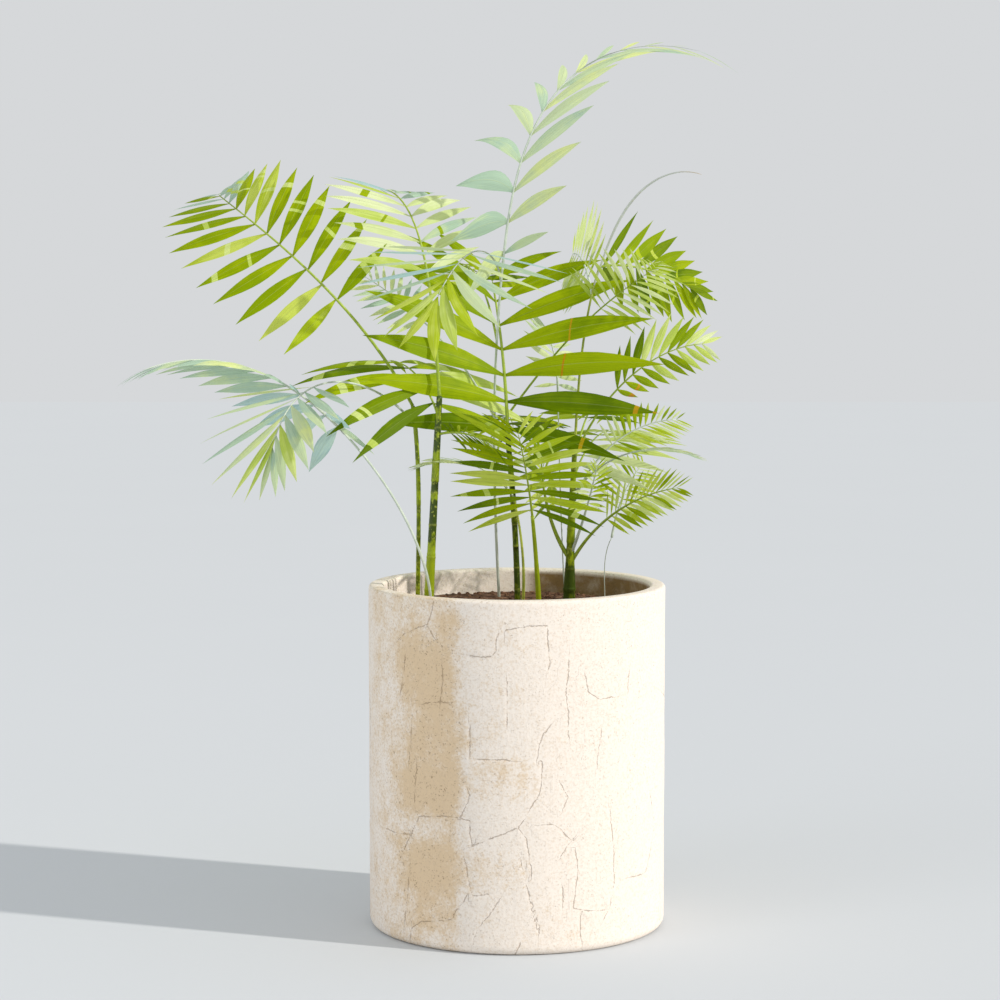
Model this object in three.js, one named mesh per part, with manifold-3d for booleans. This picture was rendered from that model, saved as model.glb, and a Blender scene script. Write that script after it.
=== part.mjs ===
// A parlor palm in a straight round pot of cast stone, in millimetres, with Z up.
// The origin is the middle of the pot's flat underside. X runs to the right and Y away
// from the side the plant shows first.

import * as THREE from 'three';
import { mergeVertices } from 'three/addons/utils/BufferGeometryUtils.js';
import Module from 'manifold-3d';

const wasm = await Module();
wasm.setup();

// Driving dimensions

const CLEARANCE = 0.3;

const POT = { radius: 175, height: 405, wall: 18, floor: 25, rimRound: 4, footRound: 10, sides: 48 };

const SOIL = { drop: 25, edgeDrop: 31, flatRadius: 128 };

// Stems. A stem stands on the soil at its foot (x, y), or goes on from the stem it is on,
// and leans by the sweep rule below: heading in plan, rise at its foot, fall at its top.
// thick gives its radius at foot and top.
const STEMS = [
  { name: 'cane_left', tone: 'stem', foot: [-118, 20], heading: 180, rise: 91, fall: 82, bend: 3,
    length: 236, thick: [3.0, 2.6] },
  { name: 'cane_left_stout', tone: 'stem', foot: [-104, -30], heading: 60, rise: 84, fall: 84,
    length: 250, thick: [6.0, 3.8] },
  { name: 'stem_far_left', tone: 'blue', foot: [-101, -64], heading: 152, rise: 112, fall: 42,
    bend: 0.37, length: 242, thick: [2.2, 1.8] },
  { name: 'cane_back', tone: 'blue', foot: [-21, 72], heading: 0, rise: 93, fall: 84, bend: 1.5,
    length: 400, thick: [2.6, 2.0] },
  { name: 'cane_centre', tone: 'stem', foot: [1, 40], heading: 190, rise: 89, fall: 84,
    length: 198, thick: [4.2, 3.4] },
  { name: 'stem_centre_thin', tone: 'blue', foot: [7, 5], heading: 180, rise: 94, fall: 76,
    length: 130, thick: [2.2, 1.8] },
  { name: 'cane_front', tone: 'stem', foot: [26, -5], heading: 200, rise: 87, fall: 84,
    length: 108, thick: [3.4, 2.4] },
  { name: 'cane_right', tone: 'stem', foot: [63, 52], heading: 0, rise: 89, fall: 87,
    length: 180, thick: [6.5, 3.2] },
  { name: 'petiole_right', tone: 'blue', on: 'cane_right', heading: 20, rise: 87, fall: 72, bend: 2,
    length: 222, thick: [2.6, 1.6] },
  { name: 'stem_back_thin', tone: 'blue', foot: [59, 112], heading: 180, rise: 87, fall: 89,
    length: 245, thick: [1.6, 1.4] },
  { name: 'stem_right_thin', tone: 'blue', foot: [106, 50], heading: 0, rise: 92, fall: 60, bend: 3,
    length: 78, thick: [1.6, 1.4] },
];

// Fronds. Each leaves its stem at a share of that stem's length, by the same sweep rule.
// bare is the share without leaflets, leaf and wide size the longest leaflet, and spread
// is its angle from the rib at the first and the last pair, less by skew on the left. short
// and taper are how much shorter the first and the last pair are, and thin how much narrower
// the last pair is. left and leftWide are the length and width of a left leaflet against a
// right one, left less by fade toward the tip. lift raises both from the frond's plane,
// pitch turns their blades, and sickle bends their tips along the rib.
const FRONDS = [
  { name: 'frond_front', tone: 'bright', on: 'cane_centre', heading: 103, rise: 86, fall: 50, bend: 0.8,
    length: 206, bare: 0, pairs: 7, leaf: 205, wide: 30, spread: [90, 60], skew: 8, roll: 16,
    twist: -19, lift: 28, droop: 0.12, short: 0.23, rib: [2.6, 1.4] },
  { name: 'frond_tall', tone: 'blue', on: 'cane_back', heading: 66, swing: -45, rise: 77, fall: -12,
    bend: 1.3, split: 0.5, length: 486, bare: 0.01, pairs: 14, leaf: 136, wide: 26, thin: 0.6,
    leftWide: 1.35, spread: [76, 8], skew: -12, roll: -24, twist: -50, lift: 34, left: 0.56, fade: 0.85, droop: 0.1,
    sickle: -0.06, taper: 0.6, short: 0.55 },
  { name: 'frond_upper_left', tone: 'bright', on: 'cane_left', heading: 184, swing: -86, rise: 63, fall: 4,
    length: 481, bare: 0.31, pairs: 13, leaf: 112, wide: 18, spread: [92, 29], skew: -6, roll: 84,
    twist: -66, lift: 9, droop: 0.07, sickle: 0.04, taper: 0.57, rib: [2.4, 0.8] },
  { name: 'frond_upper_mid', tone: 'lime', on: 'cane_left_stout', heading: 105, swing: 13, rise: 75, fall: 0,
    bend: 1.8, length: 356, bare: 0.42, pairs: 10, leaf: 110, wide: 14, spread: [65, 54], skew: -9,
    twist: -14, lift: 5, left: 1.1, droop: 0.05, sickle: -0.12, taper: 0.7, rib: [2.6, 0.8] },
  { name: 'frond_centre', tone: 'blue', on: 'cane_back', at: 0.955, heading: -104, swing: -8, rise: 82,
    fall: -40, bend: 0.43, length: 238, bare: 0.45, pairs: 8, leaf: 136, wide: 19, spread: [77, 11],
    roll: 8, droop: 0.05, left: 1.1, sickle: -0.18, taper: 0.22 },
  { name: 'frond_low_left', tone: 'blue', on: 'cane_left', at: 0.9, heading: -154, swing: 49, rise: 53,
    fall: -53, bend: 0.9, length: 292, bare: 0.58, pairs: 8, leaf: 127, wide: 17, spread: [53, 12],
    skew: -7, roll: 36, twist: -49, lift: 5, droop: 0.02, sickle: 0.04, taper: 0.48 },
  { name: 'frond_far_left', tone: 'blue', on: 'stem_far_left', heading: 208, rise: 44, fall: -20, bend: 1.4,
    split: 0.47, length: 278, bare: 0.02, pairs: 13, leaf: 92, wide: 20, thin: 0.5, spread: [98, 14],
    roll: -16, twist: 12, lift: -16, droop: 0.14, taper: 0.62 },
  { name: 'frond_right_mid', tone: 'bright', on: 'cane_right', at: 0.96, heading: 10, swing: 28, rise: 66,
    fall: 1, bend: 1.27, length: 232, bare: 0.4, pairs: 11, leaf: 62, wide: 11, spread: [63, 25],
    skew: 10, roll: -137, twist: 56, lift: -12, droop: 0.03, sickle: 0.1, taper: 0.4 },
  { name: 'frond_right_low', tone: 'bright', on: 'cane_right', at: 0.24, heading: -20, rise: 62, fall: 10,
    length: 170, bare: 0.42, pairs: 9, leaf: 48, wide: 9, spread: [65, 30], roll: -60, droop: 0.05 },
  { name: 'frond_right_pale', tone: 'pale', on: 'cane_right', at: 0.3, heading: -45, rise: 62, fall: 75,
    length: 118, bare: 0.55, pairs: 8, leaf: 38, wide: 8, spread: [100, 40], droop: 0.1 },
  { name: 'frond_right_edge', tone: 'pale', on: 'cane_right', at: 0.6, heading: 25, rise: 74, fall: 0,
    length: 190, bare: 0.5, pairs: 9, leaf: 48, wide: 9, spread: [70, 35], roll: -40, droop: 0.05 },
  { name: 'frond_right_striped', tone: 'pale', on: 'stem_right_thin', heading: 60, rise: 70, fall: 20,
    length: 120, bare: 0.3, pairs: 8, leaf: 42, wide: 8, spread: [80, 40], roll: -40, droop: 0.05 },
  { name: 'frond_right_arch', tone: 'blue', on: 'cane_right', at: 0.7, heading: -12, rise: 58, fall: -20,
    length: 190, bare: 0.5, pairs: 7, leaf: 44, wide: 8, spread: [50, 20], droop: 0.05 },
  { name: 'frond_upper_right', tone: 'lime', on: 'cane_back', at: 0.5, heading: 12, swing: -103, rise: 53,
    fall: 8, bend: 2.4, length: 331, bare: 0.59, pairs: 12, leaf: 87, wide: 9, spread: [74, 12],
    skew: 7, roll: 113, twist: -103, lift: -28, left: 0.8, droop: 0.12, taper: 0.8 },
  { name: 'frond_right_broad', tone: 'deep', on: 'petiole_right', heading: 20, swing: 32, rise: 29,
    fall: -18, bend: 0.25, length: 170, bare: 0, pairs: 10, leaf: 105, wide: 16, spread: [48, 10],
    skew: -6, roll: 46, twist: 46, lift: 31, taper: 0.37 },
  { name: 'frond_right_narrow', tone: 'pale', on: 'petiole_right', at: 0.85, heading: 100, rise: 50, fall: -5,
    length: 130, bare: 0.2, pairs: 8, leaf: 76, wide: 9, spread: [84, 60], roll: -105, pitch: 62,
    droop: 0.02 },
  { name: 'frond_back_narrow', tone: 'pale', on: 'stem_back_thin', heading: 110, rise: 88, fall: 40,
    length: 90, bare: 0.1, pairs: 8, leaf: 62, wide: 12, spread: [95, 45], roll: -35, pitch: 30,
    droop: 0.03 },
  { name: 'frond_front_low', tone: 'bright', on: 'cane_front', heading: -110, rise: 72, fall: 55,
    length: 112, bare: 0.05, pairs: 9, leaf: 100, wide: 11, spread: [108, 36], droop: 0.08 },
  { name: 'frond_inner_low', tone: 'bright', on: 'cane_right', at: 0.28, heading: 165, rise: 48, fall: 90,
    bend: 0.6, length: 135, bare: 0.5, pairs: 7, leaf: 84, wide: 10, spread: [95, 45], droop: 0.15 },
  { name: 'frond_back_left', tone: 'lime', on: 'cane_left_stout', at: 0.9, heading: 125, rise: 62, fall: 0,
    length: 130, bare: 0.1, pairs: 6, leaf: 160, wide: 22, spread: [110, 50], droop: 0.2 },
  { name: 'frond_back_right', tone: 'lime', on: 'cane_right', at: 0.8, heading: 65, rise: 52, fall: 0,
    length: 130, bare: 0.15, pairs: 7, leaf: 118, wide: 19, spread: [100, 45], droop: 0.15 },
  { name: 'frond_small_left', tone: 'blue', on: 'stem_centre_thin', heading: 178, rise: 58, fall: -12,
    length: 110, bare: 0.5, pairs: 6, leaf: 60, wide: 9, spread: [45, 20], droop: 0.1 },
  { name: 'frond_small_upper', tone: 'blue', on: 'cane_back', at: 0.55, heading: 165, rise: 62, fall: 30,
    length: 235, bare: 0.62, pairs: 8, leaf: 50, wide: 9, spread: [80, 40], roll: 40, droop: 0.05 },
  { name: 'frond_mid_small', tone: 'deep', on: 'cane_left_stout', at: 0.82, heading: -25, rise: 15, fall: -35,
    length: 75, bare: 0.2, pairs: 6, leaf: 46, wide: 9, spread: [70, 30], roll: 30, droop: 0.1 },
  { name: 'frond_rear_low', tone: 'deep', on: 'cane_back', at: 0.35, heading: 85, rise: 45, fall: -25,
    length: 300, bare: 0.35, pairs: 7, leaf: 92, wide: 16, spread: [75, 35], droop: 0.15 },
  { name: 'frond_rear_high', tone: 'bright', on: 'cane_back', at: 0.78, heading: 105, rise: 55, fall: -15,
    length: 260, bare: 0.35, pairs: 7, leaf: 86, wide: 15, spread: [75, 35], droop: 0.1 },
  { name: 'frond_rear_right', tone: 'bright', on: 'cane_right', at: 0.9, heading: 78, rise: 45, fall: -22,
    length: 270, bare: 0.35, pairs: 7, leaf: 80, wide: 15, spread: [75, 35], droop: 0.15 },
];

// The unopened leaf that stands above the right side.
const SPEAR = { name: 'spear_right', on: 'petiole_right', at: 0.9, heading: -5, rise: 72, fall: -20,
  bend: 2.4, length: 204, thick: [2.4, 0.8] };

const COLOURS = {
  stone: 0xe3d9c7,
  soil: 0x5b4636,
  stem: 0x6f8f1e,
  bright: 0x8fb51c,
  lime: 0xb4cf4e,
  pale: 0xd2e2a4,
  blue: 0xa6bfa8,
  deep: 0x66871a,
};

const DEGREE = Math.PI / 180;

// The sweep rule: a curve whose rise changes to its fall, and whose heading swings, by the
// same easing, so that a few angles and a length give a whole stem, rib or arch.
// Every station has the place, the way along, and the side and face of a blade on it.
const STATIONS = 32;

function aim(route, share) {
  const ease = Math.pow(share, route.bend ?? 1);
  const heading = (route.heading + (route.swing ?? 0) * ease) * DEGREE;
  const rise = (route.rise + (route.fall - route.rise) * ease) * DEGREE;
  const roll = ((route.roll ?? 0) + (route.twist ?? 0) * ease) * DEGREE;
  const level = Math.cos(rise);
  const along = new THREE.Vector3(level * Math.cos(heading), level * Math.sin(heading), Math.sin(rise));
  const flatSide = new THREE.Vector3(Math.sin(heading), -Math.cos(heading), 0);
  const upFace = new THREE.Vector3().crossVectors(flatSide, along);
  const side = flatSide.clone().multiplyScalar(Math.cos(roll)).addScaledVector(upFace, Math.sin(roll));
  const face = upFace.multiplyScalar(Math.cos(roll)).addScaledVector(flatSide, -Math.sin(roll));
  return { along, side, face };
}

function sweep(route, from) {
  const step = route.length / STATIONS;
  const place = from.clone();
  const stations = [{ place: place.clone(), ...aim(route, 0) }];
  for (let i = 1; i <= STATIONS; i += 1) {
    place.addScaledVector(aim(route, (i - 0.5) / STATIONS).along, step);
    stations.push({ place: place.clone(), ...aim(route, i / STATIONS) });
  }
  return stations;
}

function stationAt(stations, share) {
  const spot = Math.min(Math.max(share, 0), 1) * STATIONS;
  const low = Math.min(Math.floor(spot), STATIONS - 1);
  const [a, b] = [stations[low], stations[low + 1]];
  const mix = (key) => a[key].clone().lerp(b[key], spot - low);
  return { place: mix('place'), along: mix('along').normalize(), side: mix('side').normalize(),
    face: mix('face').normalize() };
}

// The leaflet rule: pairs stand evenly on the rib past its bare foot, longest a third of
// the way up, and close toward the tip.
const WIDEST = 0.35;
const SHORT = 0.15;
const TAPER = 0.5;
const FIRST_GAP = 0.3;
const BLADE_PITCH = 14;

function lengthShare(frond, up) {
  if (up < WIDEST) {
    return 1 - (frond.short ?? SHORT) * ((WIDEST - up) / WIDEST) ** 2;
  }
  return 1 - (frond.taper ?? TAPER) * ((up - WIDEST) / (1 - WIDEST)) ** 2;
}

function leafletsOf(frond, stations) {
  const leaflets = [];
  for (let pair = 0; pair < frond.pairs; pair += 1) {
    const up = pair / (frond.pairs - 1);
    const share = frond.bare + (1 - frond.bare) * (pair + FIRST_GAP) / (frond.pairs - 1 + FIRST_GAP);
    const root = stationAt(stations, share);
    const size = lengthShare(frond, up);
    const lift = (frond.lift ?? 0) * DEGREE;
    const pitch = (frond.pitch ?? BLADE_PITCH) * DEGREE;
    const left = (frond.left ?? 1) * (1 - (frond.fade ?? 0) * up);
    const wide = frond.wide * size * (1 - (frond.thin ?? 0) * up);
    const evenSpread = frond.spread[0] + (frond.spread[1] - frond.spread[0]) * up;
    for (const hand of [1, -1]) {
      const length = frond.leaf * size * (hand > 0 ? 1 : left);
      const spread = (evenSpread + hand * (frond.skew ?? 0)) * DEGREE;
      const way = root.along.clone().multiplyScalar(Math.cos(spread))
        .addScaledVector(root.side, hand * Math.sin(spread) * Math.cos(lift))
        .addScaledVector(root.face, Math.sin(spread) * Math.sin(lift));
      const level = root.along.clone().addScaledVector(way, -root.along.dot(way)).normalize();
      const raised = new THREE.Vector3().crossVectors(way, level).multiplyScalar(hand);
      const across = level.multiplyScalar(Math.cos(pitch)).addScaledVector(raised, Math.sin(pitch));
      leaflets.push({ root: root.place, along: root.along, way, across, length,
        wide: wide * (hand > 0 ? 1 : frond.leftWide ?? 1),
        droop: frond.droop ?? 0, sickle: frond.sickle ?? 0, share });
    }
  }
  return leaflets;
}

function leafletPoint(leaflet, share) {
  const bent = leaflet.length * share * share;
  return leaflet.root.clone().addScaledVector(leaflet.way, leaflet.length * share)
    .addScaledVector(leaflet.along, leaflet.sickle * bent)
    .add(new THREE.Vector3(0, 0, -leaflet.droop * bent));
}

// A stem starts a little under the soil's top, where it is later cut flat.
const FOOT_SUNK = 2;

function stemFoot(stem) {
  return new THREE.Vector3(stem.foot[0], stem.foot[1], POT.height - SOIL.drop - FOOT_SUNK);
}

// Solids

const WELD = 1e-4;
const LEAF_THICKNESS = 0.015;
const LEAF_WAIST = 0.42;
const ROOT_SUNK = 1;
const RIB_RADII = [1.9, 0.7];
const RIB_SIDES = 3;
const STEM_SIDES = 8;
const STEP_LENGTH = 30;
const SPEAR_SIDES = 4;
const SPEAR_FLATNESS = 0.5;

function solidOf(geometry) {
  const bare = geometry.clone();
  bare.deleteAttribute('normal');
  bare.deleteAttribute('uv');
  const merged = mergeVertices(bare, WELD);
  return new wasm.Manifold(new wasm.Mesh({
    numProp: 3,
    vertProperties: new Float32Array(merged.attributes.position.array),
    triVerts: new Uint32Array(merged.index.array),
  }));
}

function geometryOf(solid) {
  const { vertProperties, triVerts } = solid.getMesh();
  const geometry = new THREE.BufferGeometry();
  geometry.setAttribute('position', new THREE.BufferAttribute(vertProperties, 3));
  geometry.setIndex(new THREE.BufferAttribute(triVerts, 1));
  geometry.computeVertexNormals();
  return geometry;
}

function moveVertices(geometry, move) {
  const spots = geometry.attributes.position;
  for (let i = 0; i < spots.count; i += 1) {
    const moved = move(new THREE.Vector3().fromBufferAttribute(spots, i));
    spots.setXYZ(i, moved.x, moved.y, moved.z);
  }
  return geometry;
}

// A tapering tube bent along the stations from one share of their length to another.
function tube(stations, length, [first, last], [start, end], sides, flatness = 1) {
  const long = length * (last - first);
  const rings = Math.max(2, Math.round(long / STEP_LENGTH));
  const straight = new THREE.CylinderGeometry(end, start, long, sides, rings);
  return moveVertices(straight, (spot) => {
    const { place, side, face } = stationAt(stations, first + (last - first) * (spot.y / long + 0.5));
    return place.addScaledVector(side, spot.x).addScaledVector(face, spot.z * flatness);
  });
}

// A leaflet is a long double pyramid: a root sunk in the rib, a waist and a tip.
function leafletGeometry(leaflet, margin) {
  const flat = leaflet.wide / 2 + margin;
  const thick = leaflet.length * LEAF_THICKNESS / 2 + margin;
  const face = new THREE.Vector3().crossVectors(leaflet.across, leaflet.way);
  return moveVertices(new THREE.OctahedronGeometry(1), (spot) => {
    if (spot.y > 0.5) {
      return leafletPoint(leaflet, 1);
    }
    if (spot.y < -0.5) {
      return leaflet.root.clone().addScaledVector(leaflet.way, -ROOT_SUNK);
    }
    return leafletPoint(leaflet, LEAF_WAIST).addScaledVector(leaflet.across, spot.x * flat)
      .addScaledVector(face, spot.z * thick);
  });
}

// What already stands, so that a new leaflet keeps clear of every other stem and frond.
const standing = [];

function stand(owner, geometry) {
  geometry.computeBoundingBox();
  standing.push({ owner, box: geometry.boundingBox, solid: solidOf(geometry) });
}

function isClear(owner, geometry) {
  geometry.computeBoundingBox();
  const near = standing.filter(({ owner: other, box }) => (
    other !== owner && box.intersectsBox(geometry.boundingBox)
  ));
  if (near.length === 0) {
    return true;
  }
  const solid = solidOf(geometry);
  return near.every((other) => solid.intersect(other.solid).isEmpty());
}

const routes = {};

function startOf(piece) {
  return piece.on ? stationAt(routes[piece.on], piece.at ?? 1).place : stemFoot(piece);
}

function ribRadii(frond) {
  return frond.rib ?? RIB_RADII;
}

// Every stem and rib is one run. A run is cut clear of the runs made before it, so that it
// stops short of the stem it leaves, and only its main body is kept.
const runs = [];

function runGeometry(run, margin) {
  const radii = run.radii.map((radius) => radius + margin);
  return tube(routes[run.route], run.length, run.range, radii, run.sides, run.flatness);
}

function mainBody(solid) {
  const bodies = solid.decompose();
  return bodies.reduce((main, body) => (body.volume() > main.volume() ? body : main));
}

function addRun(run) {
  const geometry = runGeometry(run, 0);
  geometry.computeBoundingBox();
  let solid = solidOf(geometry);
  for (const other of runs) {
    if (other.box.intersectsBox(geometry.boundingBox)) {
      solid = solid.subtract(other.cutter);
    }
  }
  solid = mainBody(solid);
  const cutterGeometry = runGeometry(run, CLEARANCE);
  cutterGeometry.computeBoundingBox();
  runs.push({ ...run, solid, box: cutterGeometry.boundingBox, cutter: solidOf(cutterGeometry) });
  stand(run.owner, geometryOf(solid));
}

function halvesOf(frond) {
  if (!frond.split) {
    return [{ name: frond.name, range: [0, 1] }];
  }
  const gap = CLEARANCE / 2 / frond.length;
  return [
    { name: `${frond.name}_foot`, range: [0, frond.split - gap] },
    { name: `${frond.name}_tip`, range: [frond.split + gap, 1] },
  ];
}

function buildFrond(frond, half) {
  let solid = runs.find((run) => run.owner === half.name).solid;
  const leaflets = leafletsOf(frond, routes[frond.name])
    .filter(({ share }) => share >= half.range[0] && share <= half.range[1]);
  for (const leaflet of leaflets) {
    if (isClear(half.name, leafletGeometry(leaflet, CLEARANCE))) {
      const geometry = leafletGeometry(leaflet, 0);
      solid = solid.add(solidOf(geometry));
      stand(half.name, geometry);
    }
  }
  return mainBody(solid);
}

// Pot and soil, turned about Z.
function lathe(profile) {
  return new THREE.LatheGeometry(profile, POT.sides).rotateX(Math.PI / 2);
}

const CORNER_STEPS = 2;

function corner(x, y, radius, from) {
  const points = [];
  for (let i = 0; i <= CORNER_STEPS; i += 1) {
    const turn = (from + 90 * i / CORNER_STEPS) * DEGREE;
    points.push(new THREE.Vector2(x + radius * Math.cos(turn), y + radius * Math.sin(turn)));
  }
  return points;
}

function potGeometry() {
  const { radius, height, wall, floor, rimRound, footRound } = POT;
  const inner = radius - wall;
  return lathe([
    new THREE.Vector2(0, 0),
    ...corner(radius - footRound, footRound, footRound, -90),
    ...corner(radius - rimRound, height - rimRound, rimRound, 0),
    ...corner(inner + rimRound, height - rimRound, rimRound, 90),
    new THREE.Vector2(inner, floor),
    new THREE.Vector2(0, floor),
  ]);
}

function soilGeometry() {
  const inner = POT.radius - POT.wall - CLEARANCE;
  const bottom = POT.floor + CLEARANCE;
  return lathe([
    new THREE.Vector2(0, bottom),
    new THREE.Vector2(inner, bottom),
    new THREE.Vector2(inner, POT.height - SOIL.edgeDrop),
    new THREE.Vector2(SOIL.flatRadius, POT.height - SOIL.drop),
    new THREE.Vector2(0, POT.height - SOIL.drop),
  ]);
}

// Every stem is cut flat just above the soil.
function groundGeometry() {
  const top = POT.height - SOIL.drop + CLEARANCE;
  return new THREE.BoxGeometry(2 * POT.radius, 2 * POT.radius, POT.wall).translate(0, 0, top - POT.wall / 2);
}

// Assembly

const plant = new THREE.Group();

function addMesh(name, geometry, colour, roughness) {
  const material = new THREE.MeshStandardMaterial({ color: colour, roughness, metalness: 0 });
  const mesh = new THREE.Mesh(geometry, material);
  mesh.name = name;
  plant.add(mesh);
}

addMesh('pot', potGeometry(), COLOURS.stone, 0.85);
addMesh('soil', soilGeometry(), COLOURS.soil, 0.95);
stand('pot', potGeometry());
stand('soil', soilGeometry());

const ground = groundGeometry();
ground.computeBoundingBox();
runs.push({ owner: 'soil', box: ground.boundingBox, cutter: solidOf(ground) });

for (const stem of STEMS) {
  routes[stem.name] = sweep(stem, startOf(stem));
  addRun({ owner: stem.name, route: stem.name, length: stem.length, range: [0, 1], radii: stem.thick,
    sides: STEM_SIDES, flatness: 1 });
}

for (const frond of FRONDS) {
  routes[frond.name] = sweep(frond, startOf(frond));
  const [foot, tip] = ribRadii(frond);
  for (const { name, range } of halvesOf(frond)) {
    const radii = range.map((share) => foot + (tip - foot) * share);
    addRun({ owner: name, route: frond.name, length: frond.length, range, radii,
      sides: RIB_SIDES, flatness: 1 });
  }
}

routes[SPEAR.name] = sweep(SPEAR, startOf(SPEAR));
addRun({ owner: SPEAR.name, route: SPEAR.name, length: SPEAR.length, range: [0, 1], radii: SPEAR.thick,
  sides: SPEAR_SIDES, flatness: SPEAR_FLATNESS });

for (const stem of STEMS) {
  const run = runs.find(({ owner }) => owner === stem.name);
  addMesh(stem.name, geometryOf(run.solid), COLOURS[stem.tone], 0.55);
}

for (const frond of FRONDS) {
  for (const half of halvesOf(frond)) {
    addMesh(half.name, geometryOf(buildFrond(frond, half)), COLOURS[frond.tone], 0.45);
  }
}

const spear = runs.find(({ owner }) => owner === SPEAR.name);
addMesh(SPEAR.name, geometryOf(spear.solid), COLOURS.pale, 0.5);

export default plant;
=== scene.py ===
"""A parlor palm in a round pot of cast stone. Sizes are in millimetres until a mesh is made."""
import math
import random

import bmesh
import bpy
import numpy as np
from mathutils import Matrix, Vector, noise


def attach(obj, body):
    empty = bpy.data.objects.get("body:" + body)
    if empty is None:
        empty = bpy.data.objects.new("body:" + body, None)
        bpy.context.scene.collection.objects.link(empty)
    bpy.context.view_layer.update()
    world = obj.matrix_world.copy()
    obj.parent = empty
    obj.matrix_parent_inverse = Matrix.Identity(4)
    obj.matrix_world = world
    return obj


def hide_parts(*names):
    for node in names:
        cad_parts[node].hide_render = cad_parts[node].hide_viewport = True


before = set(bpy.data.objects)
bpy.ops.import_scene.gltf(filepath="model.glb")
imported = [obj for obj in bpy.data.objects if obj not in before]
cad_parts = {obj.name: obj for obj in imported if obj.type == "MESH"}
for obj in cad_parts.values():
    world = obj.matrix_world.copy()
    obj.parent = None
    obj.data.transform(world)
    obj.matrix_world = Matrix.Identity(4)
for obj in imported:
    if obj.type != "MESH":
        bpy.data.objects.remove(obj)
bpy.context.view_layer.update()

MM = 0.001
SEED = 11

# The pot and the soil in it.
POT_RADIUS = 175.0
POT_HEIGHT = 405.0
POT_WALL = 18.0
POT_RIM_ROUND = 4.0
POT_FOOT_ROUND = 10.0
POT_FLOOR = 25
SOIL_TOP = 380.0
SOIL_EDGE = 374.0
SOIL_FLAT_RADIUS = 128.0
SOIL_RADIUS = POT_RADIUS - POT_WALL - 0.6
SOIL_DEPTH = 20
PLANTED_DEPTH = 2

# A stem or a rib starts at its foot in the soil, or on another one at a share of its length.
# It sets out with a heading and a rise in degrees, and by its end has swung by swing and
# rises by fall. A bend over 1 keeps the change for its end. roll and twist turn the blade.

# The canes and leaf stalks. thick is the radius at the foot and at the top, rings the
# distance between ring scars, and sheaths the places (start, end) of clasping leaf bases.
# dark is how dark the mottling is, sunlit_to the height to which the cane is plain and
# bright, painted sunlight below a shadow's edge, and dark_to the height to which it is stout
# and nearly black.
STEMS = {
    "cane_left": dict(foot=(-118, 20), heading=180, rise=91, fall=82, bend=3, length=236,
        thick=(3.0, 2.6), rings=31, sheaths=((118, 190), (190, 236)), dark=0.75),
    "cane_left_stout": dict(foot=(-104, -30), heading=60, rise=84, fall=84, length=250,
        thick=(6.0, 3.8), rings=38, sheaths=((8, 66), (150, 214)), dark=1.1, sunlit_to=76),
    "stem_far_left": dict(foot=(-101, -64), heading=152, rise=112, fall=42, bend=0.37, length=242,
        thick=(1.9, 1.4)),
    "cane_back": dict(foot=(-21, 72), heading=0, rise=93, fall=84, bend=1.5, length=400,
        thick=(2.0, 1.4), sheaths=((180, 260), (300, 390))),
    "cane_centre": dict(foot=(1, 40), heading=190, rise=89, fall=84, length=198, thick=(4.2, 3.4),
        rings=26, sheaths=((96, 150), (150, 198)), dark=1.7),
    "stem_centre_thin": dict(foot=(7, 5), heading=180, rise=94, fall=76, length=130,
        thick=(2.0, 1.4), sheaths=((0, 44),)),
    "cane_front": dict(foot=(26, -5), heading=200, rise=87, fall=84, length=108, thick=(3.4, 2.4),
        sheaths=((0, 52),), dark=0.2),
    "cane_right": dict(foot=(63, 52), heading=0, rise=89, fall=87, length=180, thick=(6.5, 3.2),
        rings=24, sheaths=((12, 60), (70, 130)), dark=0.7, dark_to=46),
    "petiole_right": dict(on="cane_right", heading=20, rise=87, fall=72, bend=2, length=222,
        thick=(1.9, 1.3)),
    "stem_back_thin": dict(foot=(59, 112), heading=180, rise=87, fall=89, length=245,
        thick=(1.0, 0.8)),
    "stem_right_thin": dict(foot=(106, 50), heading=0, rise=92, fall=60, bend=3, length=78,
        thick=(0.7, 0.5)),
}
GREEN_CANES = ("cane_left", "cane_left_stout", "cane_centre", "cane_front", "cane_right")
SPOTTED_STALKS = ("stem_centre_thin", "petiole_right")


def dealt(**words):
    """The leaf finishes dealt out to a frond's leaflets: those on the right of the rib and on
    the left, near the tip, and low on the rib."""
    return {part: ["leaf_" + word for word in names.split()] for part, names in words.items()}


# Most words name painted light: sunlit, lime and straw are painted sunlight and sun gloss, shaded
# and deep painted shade, and mist, haze and cool painted sky reflection. bright is the leaves' own
# green. FRONT paints shade on its low leaflets.
FRONT = dealt(right="bright", low="bright shaded shaded")
BRIGHT = dealt(right="bright bright sunlit shaded")
LIME = dealt(right="lime lime straw", tip="lime straw")
PALE = dealt(right="straw lime mist straw")
FRESH = dealt(right="lime sunlit straw bright")
MISTY = dealt(right="mist haze", left="mist haze", tip="haze cool mist")
BLUE = dealt(right="mist mist haze", tip="haze mist")
HANGING = dealt(right="haze mist haze", tip="lime mist haze")
DEEP = dealt(right="shaded deep bright")
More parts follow.
